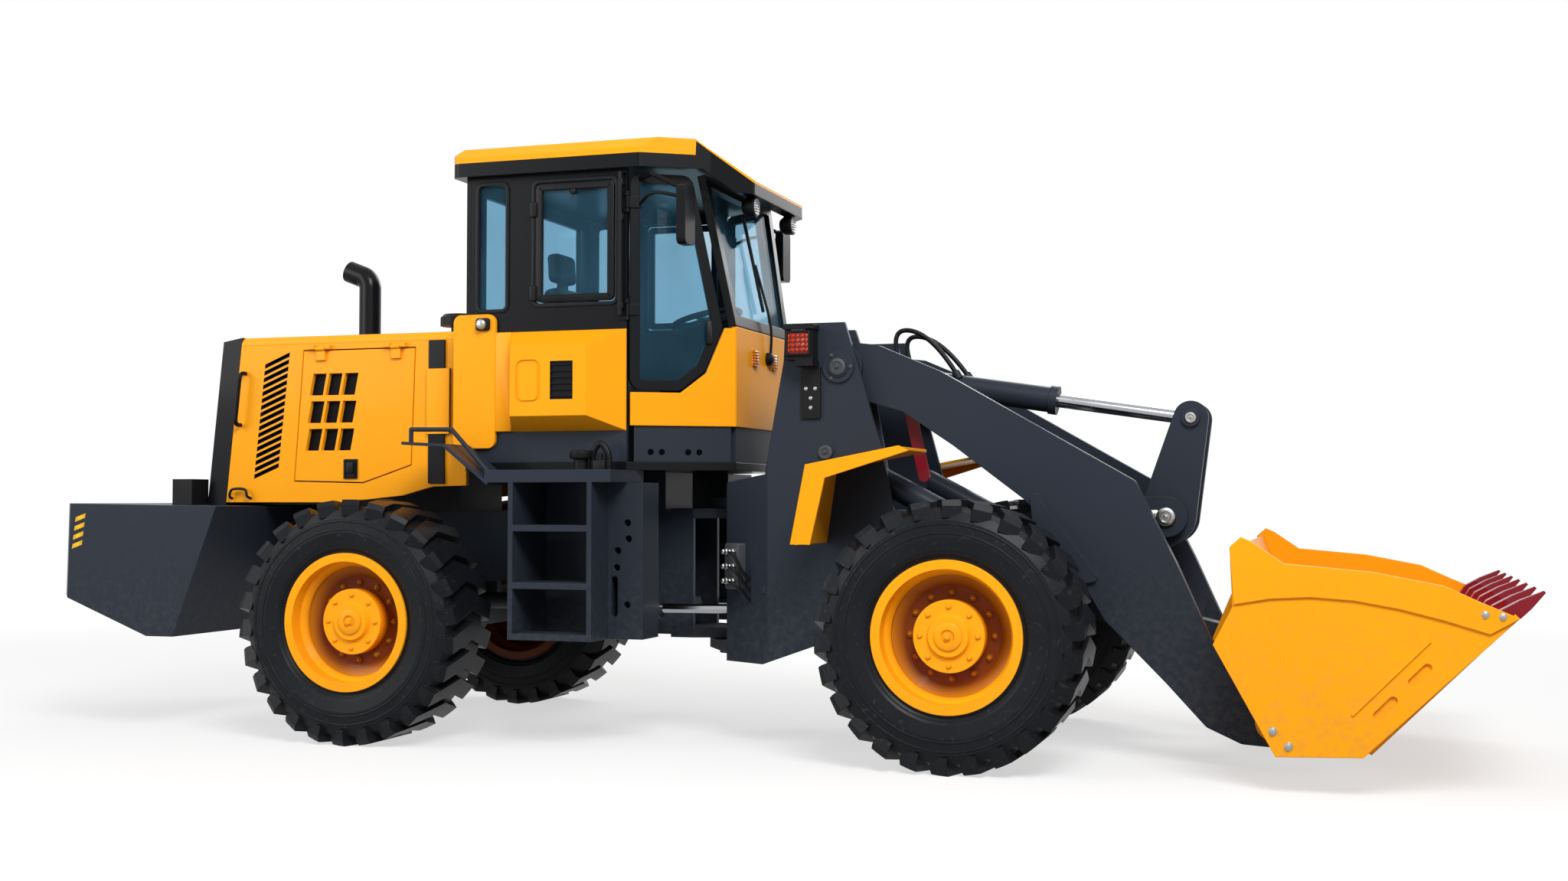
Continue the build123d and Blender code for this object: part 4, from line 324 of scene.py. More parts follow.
def cast(name: str, tint: Colour) -> Material:
    """Rough cast iron under a thin dark wash."""
    graph = Graph(name)
    cloud = graph.noise(scale=7.0, detail=6.0)
    shade = graph.blend(cloud.above(0.5, blur=0.6), tint, scaled(tint, 1.7))
    skin = graph.bump(graph.noise(scale=90.0, detail=6.0), depth=0.0015)
    return graph.surface(Base_Color=shade, Roughness=0.55 + 0.2 * cloud, Metallic=0.35, Normal=skin)


def wire_mesh(name: str, tint: Colour, pitch: float) -> Material:
    """Dark wire mesh: a grid of thin bars, its gaps painted near-black as the shade seen through them."""
    graph = Graph(name)
    across, upright = (graph.math("PINGPONG", graph.axis(letter) / pitch, 0.5).above(0.36, blur=0.08)
                       for letter in "XZ")
    wire = graph.math("MAXIMUM", across, upright)
    return graph.surface(Base_Color=graph.blend(wire, GAP_SHADE_TINT, tint), Roughness=0.5 + 0.1 * wire,
                         Normal=graph.bump(wire, depth=0.002), Specular_IOR_Level=0.08)


def glazing(name: str, film: Colour, dull: Colour, cover: float) -> Material:
    """Tinted safety glass: a clear film of one colour under a thin, soiled, shiny skin."""
    graph = Graph(name)
    soil = graph.noise(scale=2.6, detail=5.0)
    clear = graph.node("ShaderNodeBsdfTransparent", {"Color": (*film, 1.0)})
    cloud = graph.blend(soil.above(0.5, blur=0.4), dull, scaled(dull, 1.8))
    shine = graph.principled(Base_Color=cloud, Roughness=0.03 + 0.05 * soil, Specular_IOR_Level=0.4)
    return graph.close(graph.node("ShaderNodeMixShader", {0: cover + 0.12 * soil, 1: clear, 2: shine}))


def hide(name: str, tint: Colour) -> Material:
    """Seat covering with a leather grain."""
    graph = Graph(name)
    inputs = {"Vector": graph.place(), "Scale": 240.0}
    cells = graph.node("ShaderNodeTexVoronoi", inputs, feature="DISTANCE_TO_EDGE")
    cloud = graph.noise(scale=8.0)
    return graph.surface(Base_Color=graph.blend(cloud, tint, scaled(tint, 1.9)),
                         Roughness=0.5 + 0.15 * cloud, Normal=graph.bump(cells, depth=0.0009))


LATCH = Zone(y_low=0.6008, z_high=1.6)
COVER = Zone(y_low=0.6126, z_low=1.5, z_high=1.85)
LOUVRE = Zone(x_low=-1.982, x_high=-1.863, y_low=0.7, z_low=1.658, z_high=1.842)
SKIRT = Zone(z_high=1.535)
WHEEL_FRONT = Zone(y_low=0.985, blur=0.06)

YELLOW = enamel("yellow_enamel", YELLOW_TINT, dust=0.20)
ROOF = enamel("roof_enamel", YELLOW_TINT, area=Eaves())
LATCHED = enamel("engine_door_enamel", YELLOW_TINT, dust=0.1, area=LATCH)
LOUVRED = enamel("side_box_enamel", YELLOW_TINT, area=LOUVRE)
SLOTTED = enamel("hood_side_enamel", YELLOW_TINT, dust=0.1, area=Bars())
# Rims carry painted shade: dark orange in the dish and nearer the tyre's middle plane, plain yellow only on
# the outer flange in WHEEL_FRONT
SHADED_DISH = enamel("rim_enamel_dish_shade", DISH_SHADE_TINT, dust=0.1, area=WHEEL_FRONT, second=YELLOW_TINT)
SLATE = enamel("slate_enamel", SLATE_TINT, roughness=0.34, coat=0.03, dust=0.25)
BLACK = enamel("black_enamel", BLACK_TINT, roughness=0.24, coat=0.08, dust=0.10)
CAB_BLACK = enamel("cab_enamel", BLACK_TINT, coat=0.06, area=SKIRT, second=SLATE_TINT)
TRIM = enamel("strip_enamel", BLACK_TINT, coat=0.06, area=COVER, second=YELLOW_TINT)
RED = enamel("red_enamel", (0.20, 0.006, 0.014), roughness=0.34, coat=0.20, dust=0.10)
STRIPE = enamel("stripe_enamel", (1.0, 0.55, 0.02), roughness=0.30, coat=0.30, dust=0.05)
PLASTIC = moulded("black_plastic", (0.0045, 0.0047, 0.0055), roughness=0.34)
RED_LENS = moulded("red_lens", (0.42, 0.030, 0.012), roughness=0.16, ribs=14.0)
AMBER_LENS = moulded("amber_lens", (0.80, 0.20, 0.012), roughness=0.16, ribs=22.0)
CLEAR_LENS = moulded("clear_lens", (0.62, 0.64, 0.66), roughness=0.12, ribs=26.0)
RUBBER = rubber("tyre_rubber", (0.005, 0.0058, 0.0075))
CHROME = metal("rod_chrome", (0.44, 0.45, 0.47), roughness=0.12)
STEEL = metal("bright_steel", (0.46, 0.46, 0.45), roughness=0.28)
MIRROR = metal("mirror_silver", (0.86, 0.88, 0.90), roughness=0.02)
IRON = cast("cast_iron", (0.040, 0.044, 0.050))
WIRE = wire_mesh("vent_mesh", (0.006, 0.0062, 0.007), pitch=0.012)
GLASS = glazing("window_glass", film=(0.74, 0.89, 0.965), dull=(0.030, 0.100, 0.155), cover=0.10)
LEATHER = hide("seat_leather", (0.016, 0.016, 0.018))

# CAD nodes by finish; a node takes the finish of the longest name that begins its own
NODES = {
    YELLOW: "hood_top cab_nose front_fenders bucket",
    SLOTTED: "hood_sides",
    LATCHED: "engine_door",
    ROOF: "cab_roof",
    LOUVRED: "side_boxes",
    SHADED_DISH: "rim",
    SLATE: "cab_base rear_chassis counterweight steps front_chassis boom rocker bucket_link tilt_barrel "
           "lift_barrel steer_barrel",
    BLACK: "rear_grille cab_screen_frame cab_door cab_floor exhaust",
    CAB_BLACK: "cab_sides cab_rear_wall",
    TRIM: "hood_trim",
    PLASTIC: "precleaner front_lamps rear_lamps steering_column",
    RUBBER: "tyre tilt_hoses",
    CHROME: "tilt_rod lift_rod steer_rod",
    GLASS: "cab_glass door_glass",
    RED: "bucket_teeth safety_strut",
    LEATHER: "seat",
    IRON: "engine_block rear_axle front_axle",
}
NODE_FINISH = {name: finish for finish, names in NODES.items() for name in names.split()}


def dress(thing: bpy.types.Object, finish: Material) -> None:
    """Give an object one finish all over."""
    thing.data.materials.clear()
    thing.data.materials.append(finish)


def dress_nodes() -> None:
    """Give every CAD node its finish."""
    for name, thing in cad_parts.items():
        key = max((key for key in NODE_FINISH if name.startswith(key)), key=len)
        dress(thing, NODE_FINISH[key])


@dataclass(frozen=True)
class Patch:
    """A closed stretch of surface: its points, one row each, and the faces that join them."""

    points: Array
    faces: list[tuple[int, ...]]


@dataclass(frozen=True)
class Spot:
    """A place on the machine with its own axes: right, up and out of the surface."""

    origin: Point
    right: Point
    up: Point
    out: Point

    def carry(self, local: Array) -> Array:
        """Places of local points: the origin plus each share of the three axes."""
        return np.array(self.origin) + np.asarray(local) @ np.array([self.right, self.up, self.out])

    def moved(self, *local: float) -> "Spot":
        """The same axes at a local point."""
        return replace(self, origin=tuple(self.carry(np.array(local))))


def side_spot(x: float, y: float, z: float) -> Spot:
    """Spot that looks to the left."""
    return Spot((x, y, z), AHEAD, UP, LEFT)


def end_spot(x: float, y: float, z: float, way: float) -> Spot:
    """Spot that looks to the front (way 1) or to the rear (way -1)."""
    return Spot((x, y, z), (0.0, way, 0.0), UP, (way, 0.0, 0.0))


def top_spot(x: float, y: float, z: float) -> Spot:
    """Spot that looks up."""
    return Spot((x, y, z), AHEAD, LEFT, UP)


def circle(radius: float, sides: int) -> Array:
    """Points of a regular outline: radius times the cosine and sine of equal turns."""
    turn = np.linspace(0.0, 2.0 * pi, sides, endpoint=False)
    return radius * np.stack([np.cos(turn), np.sin(turn)], axis=1)


def rounded(width: float, height: float, radius: float, steps: int = 5) -> Array:
    """Rectangle with round corners: a quarter circle about the centre of each corner."""
    turn = np.linspace(0.0, pi / 2, steps)
    quarter = radius * np.stack([np.cos(turn), np.sin(turn)], axis=1)
    first = np.array([width / 2 - radius, height / 2 - radius]) + quarter
    second = first[::-1] * (-1.0, 1.0)
    return np.concatenate([first, second, -first, -second])


def ring_faces(rings: int, sides: int, looped: bool) -> list[tuple[int, ...]]:
    """Quads between closed rings of points; the last ring joins the first, or both ends get a flat face."""
    index = np.arange(rings * sides).reshape(rings, sides)
    here, there = (index, np.roll(index, -1, axis=0)) if looped else (index[:-1], index[1:])
    quads = np.stack([here, np.roll(here, -1, axis=1), np.roll(there, -1, axis=1), there], axis=-1)
    faces = [tuple(quad) for quad in quads.reshape(-1, 4).tolist()]
    if not looped:
        faces += [tuple(index[0, ::-1].tolist()), tuple(index[-1].tolist())]
    return faces


def swept(spot: Spot, plane: Array, out: Array, looped: bool) -> Patch:
    """Patch of rings in a spot's axes: points to the right and up by ring and side, and their heights."""
    heights = np.broadcast_to(out, plane.shape[:2])[..., None]
    local = np.concatenate([plane, heights], axis=2).reshape(-1, 3)
    return Patch(spot.carry(local), ring_faces(*plane.shape[:2], looped))


def slab(spot: Spot, outline: Array, depth: float, bevel: float) -> Patch:
    """Plate: an outline carried out to a depth, its last two rings drawn in by a bevel."""
    middle = outline.mean(axis=0)
    shares = 1.0 - np.array([0.0, 0.0, 0.35, 1.0]) * bevel / np.abs(outline - middle).max()
    heights = np.array([0.0, depth - bevel, depth - 0.3 * bevel, depth])
    return swept(spot, middle + shares[:, None, None] * (outline - middle), heights[:, None], False)


def turned(spot: Spot, profile: Line, sides: int = 28) -> Patch:
    """Round piece: each pair of radius and height is swept once about the spot's outward axis."""
    radius, height = np.array(profile).T
    return swept(spot, radius[:, None, None] * circle(1.0, sides), height[:, None], False)


def hoop(spot: Spot, section: Array, sides: int = 96) -> Patch:
    """Closed ring: a section of radius and height pairs swept once about the outward axis."""
    return swept(spot, circle(1.0, sides)[:, None] * section[:, :1], section[:, 1], True)


def gasket(spot: Spot, outline: Array, section: Line) -> Patch:
    """Closed frame: a section of inward and outward steps carried round an outline."""
    inset, out = np.array(section).T
    ahead = np.roll(outline, -1, axis=0) - np.roll(outline, 1, axis=0)
    ahead /= np.linalg.norm(ahead, axis=1, keepdims=True)
    inward = np.stack([-ahead[:, 1], ahead[:, 0]], axis=1)
    return swept(spot, outline[:, None] + inset[:, None] * inward[:, None], out, True)


# A direction that no tube follows
SLANT = (0.31, 0.57, 0.76)


def tube(points: Line, radius: float, sides: int = 12, steps: int = 10) -> Patch:
    """Round bar with closed ends: a circle carried square along a smooth line through points.

    Each stretch of the line is a cubic. Its slope at a point is half the step between its neighbours.
    """
    held = np.array(points)
    wide = np.concatenate([2 * held[:1] - held[1:2], held, 2 * held[-1:] - held[-2:-1]])
    before, here, there, after = (wide[shift:len(wide) - 3 + shift, None] for shift in range(4))
    t = np.linspace(0.0, 1.0, steps, endpoint=False)[None, :, None]
    cubic = 3 * (here - there) + after - before
    square = 2 * before - 5 * here + 4 * there - after
    stretches = here + 0.5 * t * (there - before + t * (square + t * cubic))
    line = np.concatenate([stretches.reshape(-1, 3), held[-1:]])
    ahead = np.gradient(line, axis=0)
    ahead /= np.linalg.norm(ahead, axis=1, keepdims=True)
    across = np.cross(ahead, SLANT)
    across /= np.linalg.norm(across, axis=1, keepdims=True)
    turn = circle(radius, sides)
    rings = line[:, None] + turn[:, :1] * across[:, None] + turn[:, 1:] * np.cross(ahead, across)[:, None]
    return Patch(rings.reshape(-1, 3), ring_faces(len(line), sides, False))


@dataclass(frozen=True)
class Plate:
    """Rounded plate: width, height, corner radius, depth of its outer face and bevel of its edge."""

    width: float
    height: float
    corner: float
    depth: float
    bevel: float

    def on(self, spot: Spot) -> Patch:
        """The plate at a spot."""
        return slab(spot, rounded(self.width, self.height, self.corner), self.depth, self.bevel)


# Washer of a bolt, as shares of the head's radius
WASHER = ((1.35, -0.1), (1.35, 0.12), (1.25, 0.22))


def bolt(spot: Spot, radius: float) -> list[Patch]:
    """Hexagon bolt head on a round washer; its sizes are shares of the head's radius."""
    washer = turned(spot, radius * np.array(WASHER), sides=20)
    return [washer, slab(spot, circle(radius, 6), 0.95 * radius, 0.2 * radius)]


def bolts(places: Line, face: float, radius: float) -> list[Patch]:
    """Bolt heads on a side face, by x and z."""
    return [patch for x, z in places for patch in bolt(side_spot(x, face, z), radius)]


@dataclass(frozen=True)
class BoltRing:
    """Bolts at equal turns: radius of the ring, number of bolts, radius of a head and height of its seat."""

    radius: float
    count: int
    head: float
    seat: float = 0.0

    def spots(self, spot: Spot) -> list[Spot]:
        """The bolts' places about a spot's outward axis."""
        return [spot.moved(*point, self.seat) for point in circle(self.radius, self.count)]

    def patches(self, spot: Spot) -> list[Patch]:
        """The bolts' heads."""
        return [patch for place in self.spots(spot) for patch in bolt(place, self.head)]


def both(patches: list[Patch]) -> list[Patch]:
    """Patches of the left side and their mirror images."""
    return patches + [Patch(patch.points * (1.0, -1.0, 1.0), patch.faces) for patch in patches]


def bars(points: Line, radius: float) -> list[Patch]:
    """The same round bar on the left and on the right."""
    return [tube(np.array(points) * (1.0, way, 1.0), radius) for way in SIDES.values()]


def link(name: str, data: Any) -> bpy.types.Object:
    """Put an object with its data into the scene."""
    thing = bpy.data.objects.new(name, data)
    bpy.context.scene.collection.objects.link(thing)
    return thing


# Faces that meet at a wider angle than this keep a sharp edge
SHARP_ANGLE = 38.0


def piece(name: str, patches: list[Patch], finish: Material, body: str) -> Any:
    """Join patches to one object with one finish, which rides on a body."""
    starts = np.cumsum([0] + [len(patch.points) for patch in patches])
    faces = [tuple(number + int(start) for number in face)
             for patch, start in zip(patches, starts) for face in patch.faces]
    points = np.concatenate([patch.points for patch in patches]) + AXLE
    mesh = bpy.data.meshes.new(name)
    mesh.from_pydata(points.tolist(), [], faces)
    outward = bmesh.new()
    outward.from_mesh(mesh)
    bmesh.ops.recalc_face_normals(outward, faces=outward.faces)
    outward.to_mesh(mesh)
    outward.free()
    mesh.polygons.foreach_set("use_smooth", np.ones(len(mesh.polygons), dtype=bool))
    mesh.set_sharp_from_angle(angle=radians(SHARP_ANGLE))
    thing = link(name, mesh)
    dress(thing, finish)
    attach(thing, body)
    return thing


# Wheels: heights are measured from the tyre's middle plane, and those of the cap from its face
WHEEL_NUTS = BoltRing(0.188, 12, 0.014, seat=0.042)
WHEEL_STUD = ((0.006, 0.0), (0.006, 0.02), (0.004, 0.022))
HUB_BOLTS = BoltRing(0.128, 8, 0.0095, seat=0.120)
CAP_FACE = 0.138
CAP_RING = ((0.062, -0.002), (0.062, 0.006), (0.056, 0.010), (0.030, 0.010), (0.028, 0.004))
CAP_SQUARE = Plate(0.024, 0.024, 0.003, depth=0.022, bevel=0.003)
RIB_SECTION = ((-0.006, -0.004), (-0.004, 0.002), (0.0, 0.0035), (0.004, 0.002), (0.006, -0.004))
RIB_PLACES = ((0.362, 0.183), (0.446, 0.204), (0.486, 0.2018))


def wheel_trim() -> None:
    """Fit nuts, hub bolts, cap and sidewall ribs to the four wheels."""
    for end, side in product(("front", "rear"), SIDES):
        name = f"{end}_{side}"
        spot = Spot(tuple(middle_of(f"tyre_{name}") - AXLE), AHEAD, UP, (0.0, SIDES[side], 0.0))
        studs = [turned(place, WHEEL_STUD, sides=12) for place in WHEEL_NUTS.spots(spot)]
        # The wheel nuts sit in the dish and take its painted shade
        piece(f"wheel_nuts_{name}", WHEEL_NUTS.patches(spot) + studs, SHADED_DISH, f"wheel_{name}")
        cap = spot.moved(0.0, 0.0, CAP_FACE)
        hub = HUB_BOLTS.patches(spot) + [turned(cap, CAP_RING), CAP_SQUARE.on(cap)]
        piece(f"hub_bolts_{name}", hub, YELLOW, f"wheel_{name}")
        ribs = [hoop(spot, (np.array(RIB_SECTION) + place) * (1.0, way))
                for place, way in product(RIB_PLACES, SIDES.values())]
        piece(f"sidewall_ribs_{name}", ribs, RUBBER, f"wheel_{name}")


# Bucket: bolts by x and z on the outer faces of side plate and band, and a weld bead on each side plate
PLATE_BOLTS = bolts(((1.346, 0.254), (1.406, 0.195)), face=1.150, radius=0.013)
BAND_BOLTS = bolts(((2.142, 0.735), (2.205, 0.728)), face=1.160, radius=0.011)
BEADS = bars(((1.649, 1.151, 0.327), (1.94, 1.151, 0.625)), radius=0.006)


def bucket_trim() -> None:
    """Fit bolts and weld beads to the bucket's side plates."""
    piece("bucket_bolts", both(PLATE_BOLTS + BAND_BOLTS), STEEL, "bucket")
    piece("bucket_weld_beads", BEADS, YELLOW, "bucket")


# Pins by x and z, and the faces that their ends and plates lie on; a pin end's radii are shares of its own
ARM_PIVOT = (-0.620, 1.800)
ARM_PIN_END = 0.613
TOWER_CAP_FACE = 0.607
TOWER_CAP_BOLTS = BoltRing(0.062, 3, 0.008)
LIFT_BASE = (-0.680, 1.400)
LIFT_EYE = (0.372, 0.850)
LIFT_LUG_FACE = 0.550
ROCKER_PIVOT = (0.840, 1.100)
ROCKER_PIN_END = 0.200
ROCKER_TOP = (0.950, 1.560)
ROCKER_FOOT = (0.3555, 0.7132)
ROCKER_BOSS_FACE = 0.143
KEEPER = Plate(0.085, 0.038, 0.010, depth=0.012, bevel=0.002)
KEEPER_SPOT = side_spot(0.765, 0.185, 1.112)
KEEPER_BOLTS = bolts(((0.743, 1.112), (0.781, 1.112)), face=0.197, radius=0.008)
PIN_FACE = ((1.0, -0.002), (1.0, 0.006), (0.86, 0.010), (0.6, 0.010), (0.5, 0.006))
PIN_NIPPLE = ((0.22, 0.004), (0.22, 0.016), (0.12, 0.020))


def pin_end(place: tuple[float, float], face: float, radius: float) -> list[Patch]:
    """Turned pin end with a chamfer, a shallow dish and a nipple in its middle."""
    spot = side_spot(place[0], face, place[1])
    disc, nipple = (np.array(profile) * (radius, 1.0) for profile in (PIN_FACE, PIN_NIPPLE))
    return [turned(spot, disc), turned(spot, nipple, sides=12)]


def pin_caps() -> None:
    """Fit pin ends and keeper plates to arm, rocker and towers."""
    arm = pin_end(ROCKER_PIVOT, ROCKER_PIN_END, radius=0.042) + pin_end(LIFT_EYE, LIFT_LUG_FACE, radius=0.036)
    piece("arm_pin_ends", both(arm + KEEPER_BOLTS), STEEL, "boom")
    piece("keeper_plates", both([KEEPER.on(KEEPER_SPOT)]), STEEL, "boom")
    rocker = [pin_end(place, ROCKER_BOSS_FACE, radius=0.026) for place in (ROCKER_TOP, ROCKER_FOOT)]
    piece("rocker_pin_ends", both(sum(rocker, [])), STEEL, "rocker")
    tower = pin_end(ARM_PIVOT, ARM_PIN_END, radius=0.040) + pin_end(LIFT_BASE, TOWER_CAP_FACE, radius=0.034)
    tower += TOWER_CAP_BOLTS.patches(side_spot(ARM_PIVOT[0], TOWER_CAP_FACE, ARM_PIVOT[1]))
    piece("tower_pin_ends", both(tower), IRON, "front_frame")


# Lamps on the towers
TOWER_LENS = Plate(0.100, 0.096, 0.008, depth=0.006, bevel=0.003)
TOWER_LENS_SPOT = side_spot(-0.7825, 0.708, 1.906)
BEZEL = rounded(0.118, 0.114, 0.010)
BEZEL_SECTION = ((0.0, 0.0), (0.0, 0.007), (0.004, 0.009), (0.009, 0.007), (0.009, 0.0))
TOWER_STRIP = Plate(0.07, 0.014, 0.005, depth=0.006, bevel=0.002)
TOWER_STRIP_SPOT = side_spot(-0.7825, 0.700, 1.966)
STEM_BOLTS = bolts(((-0.775, 1.70), (-0.730, 1.70), (-0.752, 1.655), (-0.752, 1.61)), face=0.609,
                   radius=0.0065)


def tower_lamps() -> None:
    """Fit ribbed lenses, bezels and stem bolts to the lamps on the towers."""
    piece("tower_lamp_lenses", both([TOWER_LENS.on(TOWER_LENS_SPOT)]), RED_LENS, "front_frame")
    piece("tower_lamp_strips", both([TOWER_STRIP.on(TOWER_STRIP_SPOT)]), CLEAR_LENS, "front_frame")
    piece("tower_lamp_bezels", both([gasket(TOWER_LENS_SPOT, BEZEL, BEZEL_SECTION)]), PLASTIC, "front_frame")
    piece("tower_lamp_bolts", both(STEM_BOLTS), STEEL, "front_frame")


# Hood and counterweight
VENT_BACK = 0.571
MESH_THICK = 0.004
MESH_BEVEL = 0.0005
DOOR_MESH = Plate(0.37, 0.46, 0.01, MESH_THICK, MESH_BEVEL)
DOOR_MESH_SPOT = side_spot(-3.335, VENT_BACK, 1.63)
SLOT_FOOT = np.array([-3.812, 1.275])
SLOT_TOP = np.array([-3.728, 1.955])
SLOT_WIDTH = np.array([0.165, 0.0])
LATCH_SPOT = side_spot(-3.221, 0.608, 1.337)
LATCH_PADDLE = Plate(0.046, 0.058, 0.008, depth=0.010, bevel=0.004)
LATCH_PADDLE_LIFT = 0.006
LATCH_RIM = rounded(0.066, 0.088, 0.012)
LATCH_SECTION = ((0.0, -0.001), (0.0, 0.004), (0.003, 0.006), (0.006, 0.004), (0.006, -0.001))
LOOPS = bars(((-3.934, 0.598, 1.185), (-3.930, 0.628, 1.197), (-3.914, 0.628, 1.232), (-3.839, 0.628, 1.232),
              (-3.823, 0.628, 1.197), (-3.819, 0.598, 1.185)), radius=0.007)
STRIPE_SPOT = side_spot(-4.612, 1.000, 0.925)
STRIPE_STEP = np.array([0.006, 0.046, 0.0])
STRIPE_COUNT = 4
STRIPE_OUTLINE = np.array([(0.0, 0.0), (0.062, 0.022), (0.066, 0.047), (0.004, 0.025)])
STRIPE_THICK = 0.0012
STRIPE_BEVEL = 0.0004


def hood_trim() -> None:
    """Fit vent meshes, latch paddles and foot loops to the hood, and slanted stripes to the counterweight."""
    sheets = both([DOOR_MESH.on(DOOR_MESH_SPOT)])
    paddles = both([LATCH_PADDLE.on(LATCH_SPOT.moved(0.0, LATCH_PADDLE_LIFT, 0.0))])
    rims = both([gasket(LATCH_SPOT, LATCH_RIM, LATCH_SECTION)])
    for side, sheet, paddle, rim in zip(SIDES, sheets, paddles, rims):
        piece(f"door_vent_mesh_{side}", [sheet], WIRE, f"engine_door_{side}")
        piece(f"latch_paddle_{side}", [paddle, rim], PLASTIC, f"engine_door_{side}")
    column = np.array([SLOT_FOOT, SLOT_FOOT + SLOT_WIDTH, SLOT_TOP + SLOT_WIDTH, SLOT_TOP])
    backing = slab(side_spot(0.0, VENT_BACK, 0.0), column, MESH_THICK, MESH_BEVEL)
    piece("strip_vent_meshes", both([backing]), WIRE, "rear_frame")
    piece("hood_foot_loops", LOOPS, PLASTIC, "rear_frame")
    steps = [STRIPE_SPOT.moved(*(row * STRIPE_STEP)) for row in range(STRIPE_COUNT)]
    stripes = [slab(spot, STRIPE_OUTLINE, STRIPE_THICK, STRIPE_BEVEL) for spot in steps]
    piece("counterweight_stripes", both(stripes), STRIPE, "rear_frame")


# Cab: windows, panels and rails on its sides
CAB_HALF = 0.720
FILLER = Plate(0.092, 0.487, 0.006, depth=0.0185, bevel=0.003)
FILLER_SPOT = side_spot(-2.289, CAB_HALF, 1.755)
REAR_WINDOW_SPOT = side_spot(-2.3575, CAB_HALF, 2.420)
SASH_SPOT = side_spot(-1.9125, CAB_HALF, 2.430)
WINDOWS = ((REAR_WINDOW_SPOT, rounded(0.165, 0.630, 0.03)), (SASH_SPOT, rounded(0.445, 0.610, 0.03)))
WINDOW_LIP = ((-0.010, -0.002), (-0.009, 0.006), (0.0, 0.009), (0.010, 0.006), (0.012, -0.010))
SASH = rounded(0.415, 0.580, 0.025)
SASH_BAR = ((0.0, -0.008), (0.0, 0.010), (0.005, 0.013), (0.030, 0.013), (0.035, 0.008), (0.035, -0.008))
SASH_KNOB = ((0.008, -0.015), (0.008, 0.010), (0.016, 0.014), (0.016, 0.026), (0.010, 0.031))
SASH_KNOB_SPOT = side_spot(-1.9125, CAB_HALF + 0.004, 2.673)
SASH_HINGE = Plate(0.034, 0.075, 0.006, depth=0.022, bevel=0.005)
SASH_HINGE_PLACES = ((-2.131, CAB_HALF, 2.185), (-2.131, CAB_HALF, 2.595))
RAIL_X = -1.666
RAILS = bars([(RAIL_X, CAB_HALF + 0.024, z) for z in np.linspace(2.06, 2.755, 5)], radius=0.012)
RAIL_BRACKET = Plate(0.030, 0.034, 0.006, depth=0.030, bevel=0.004)
RAIL_BRACKET_HEIGHTS = (2.11, 2.5375, 2.705)


def cab_sides() -> None:
    """Fit panels beside the side boxes, window gaskets, a hinged sash with its knob, and grab rails."""
    piece("box_fillers", both([FILLER.on(FILLER_SPOT)]), YELLOW, "rear_frame")
    lips = [gasket(spot, outline, WINDOW_LIP) for spot, outline in WINDOWS]
    piece("window_gaskets", both(lips), RUBBER, "rear_frame")
    sash = [gasket(SASH_SPOT, SASH, SASH_BAR), turned(SASH_KNOB_SPOT, SASH_KNOB)]
    sash += [SASH_HINGE.on(side_spot(*place)) for place in SASH_HINGE_PLACES]
    piece("window_sashes", both(sash), PLASTIC, "rear_frame")
    brackets = [RAIL_BRACKET.on(side_spot(RAIL_X, CAB_HALF, z)) for z in RAIL_BRACKET_HEIGHTS]
    piece("grab_rails", RAILS + both(brackets), PLASTIC, "rear_frame")


# Windscreen by x and z of its sill and top, and the wiper by y, z and its gap to the glass
SILL = (-1.190, 2.030)
SCREEN_TOP = (-1.323, 2.770)
WIPER_CAP = ((0.034, -0.002), (0.034, 0.020), (0.024, 0.030), (0.010, 0.034))
WIPER_FOOT = (0.06, 1.90)
WIPER_ARM = ((*WIPER_FOOT, -0.006), (0.045, 2.06, 0.030), (0.02, 2.24, 0.026), (0.0, 2.38, 0.018))
WIPER_ARM_RADIUS = 0.007
WIPER_BLADE = ((0.03, 2.14, 0.008), (0.0, 2.38, 0.008), (-0.035, 2.62, 0.008))
WIPER_BLADE_RADIUS = 0.009


def on_screen(y: float, z: float, gap: float) -> Point:
    """Point in front of the windscreen, which is straight from sill to top."""
    share = (z - SILL[1]) / (SCREEN_TOP[1] - SILL[1])
    return SILL[0] + share * (SCREEN_TOP[0] - SILL[0]) + gap, y, z


def screen_wiper() -> None:
    """Fit the wiper: its motor cap on the nose, an arm and a blade that lies on the windscreen."""
    parts = [turned(end_spot(SILL[0], *WIPER_FOOT, 1.0), WIPER_CAP),
             tube([on_screen(*place) for place in WIPER_ARM], WIPER_ARM_RADIUS),
             tube([on_screen(*place) for place in WIPER_BLADE], WIPER_BLADE_RADIUS, sides=8)]
    piece("screen_wiper", parts, PLASTIC, "rear_frame")


# Small lamps of the cab
MARKER = Plate(0.060, 0.085, 0.012, depth=0.018, bevel=0.007)
MARKER_SPOT = end_spot(SILL[0], 0.150, 1.887, 1.0)
SHOULDER_SPOT = side_spot(-2.395, 0.740, 2.040)
SHOULDER_CASE = Plate(0.074, 0.062, 0.014, depth=0.016, bevel=0.004)
SHOULDER_LAMP = ((0.026, 0.010), (0.026, 0.030), (0.022, 0.036), (0.010, 0.040))
WORK_SPOT = end_spot(-1.150, 0.300, 2.627, 1.0)
WORK_CASE = ((0.030, -0.045), (0.050, -0.020), (0.052, 0.022), (0.046, 0.026))
WORK_LENS = ((0.043, 0.015), (0.043, 0.027), (0.030, 0.031), (0.010, 0.033))
WORK_STEMS = bars(((-1.160, 0.300, 2.632), (-1.160, 0.300, 2.684)), radius=0.010)


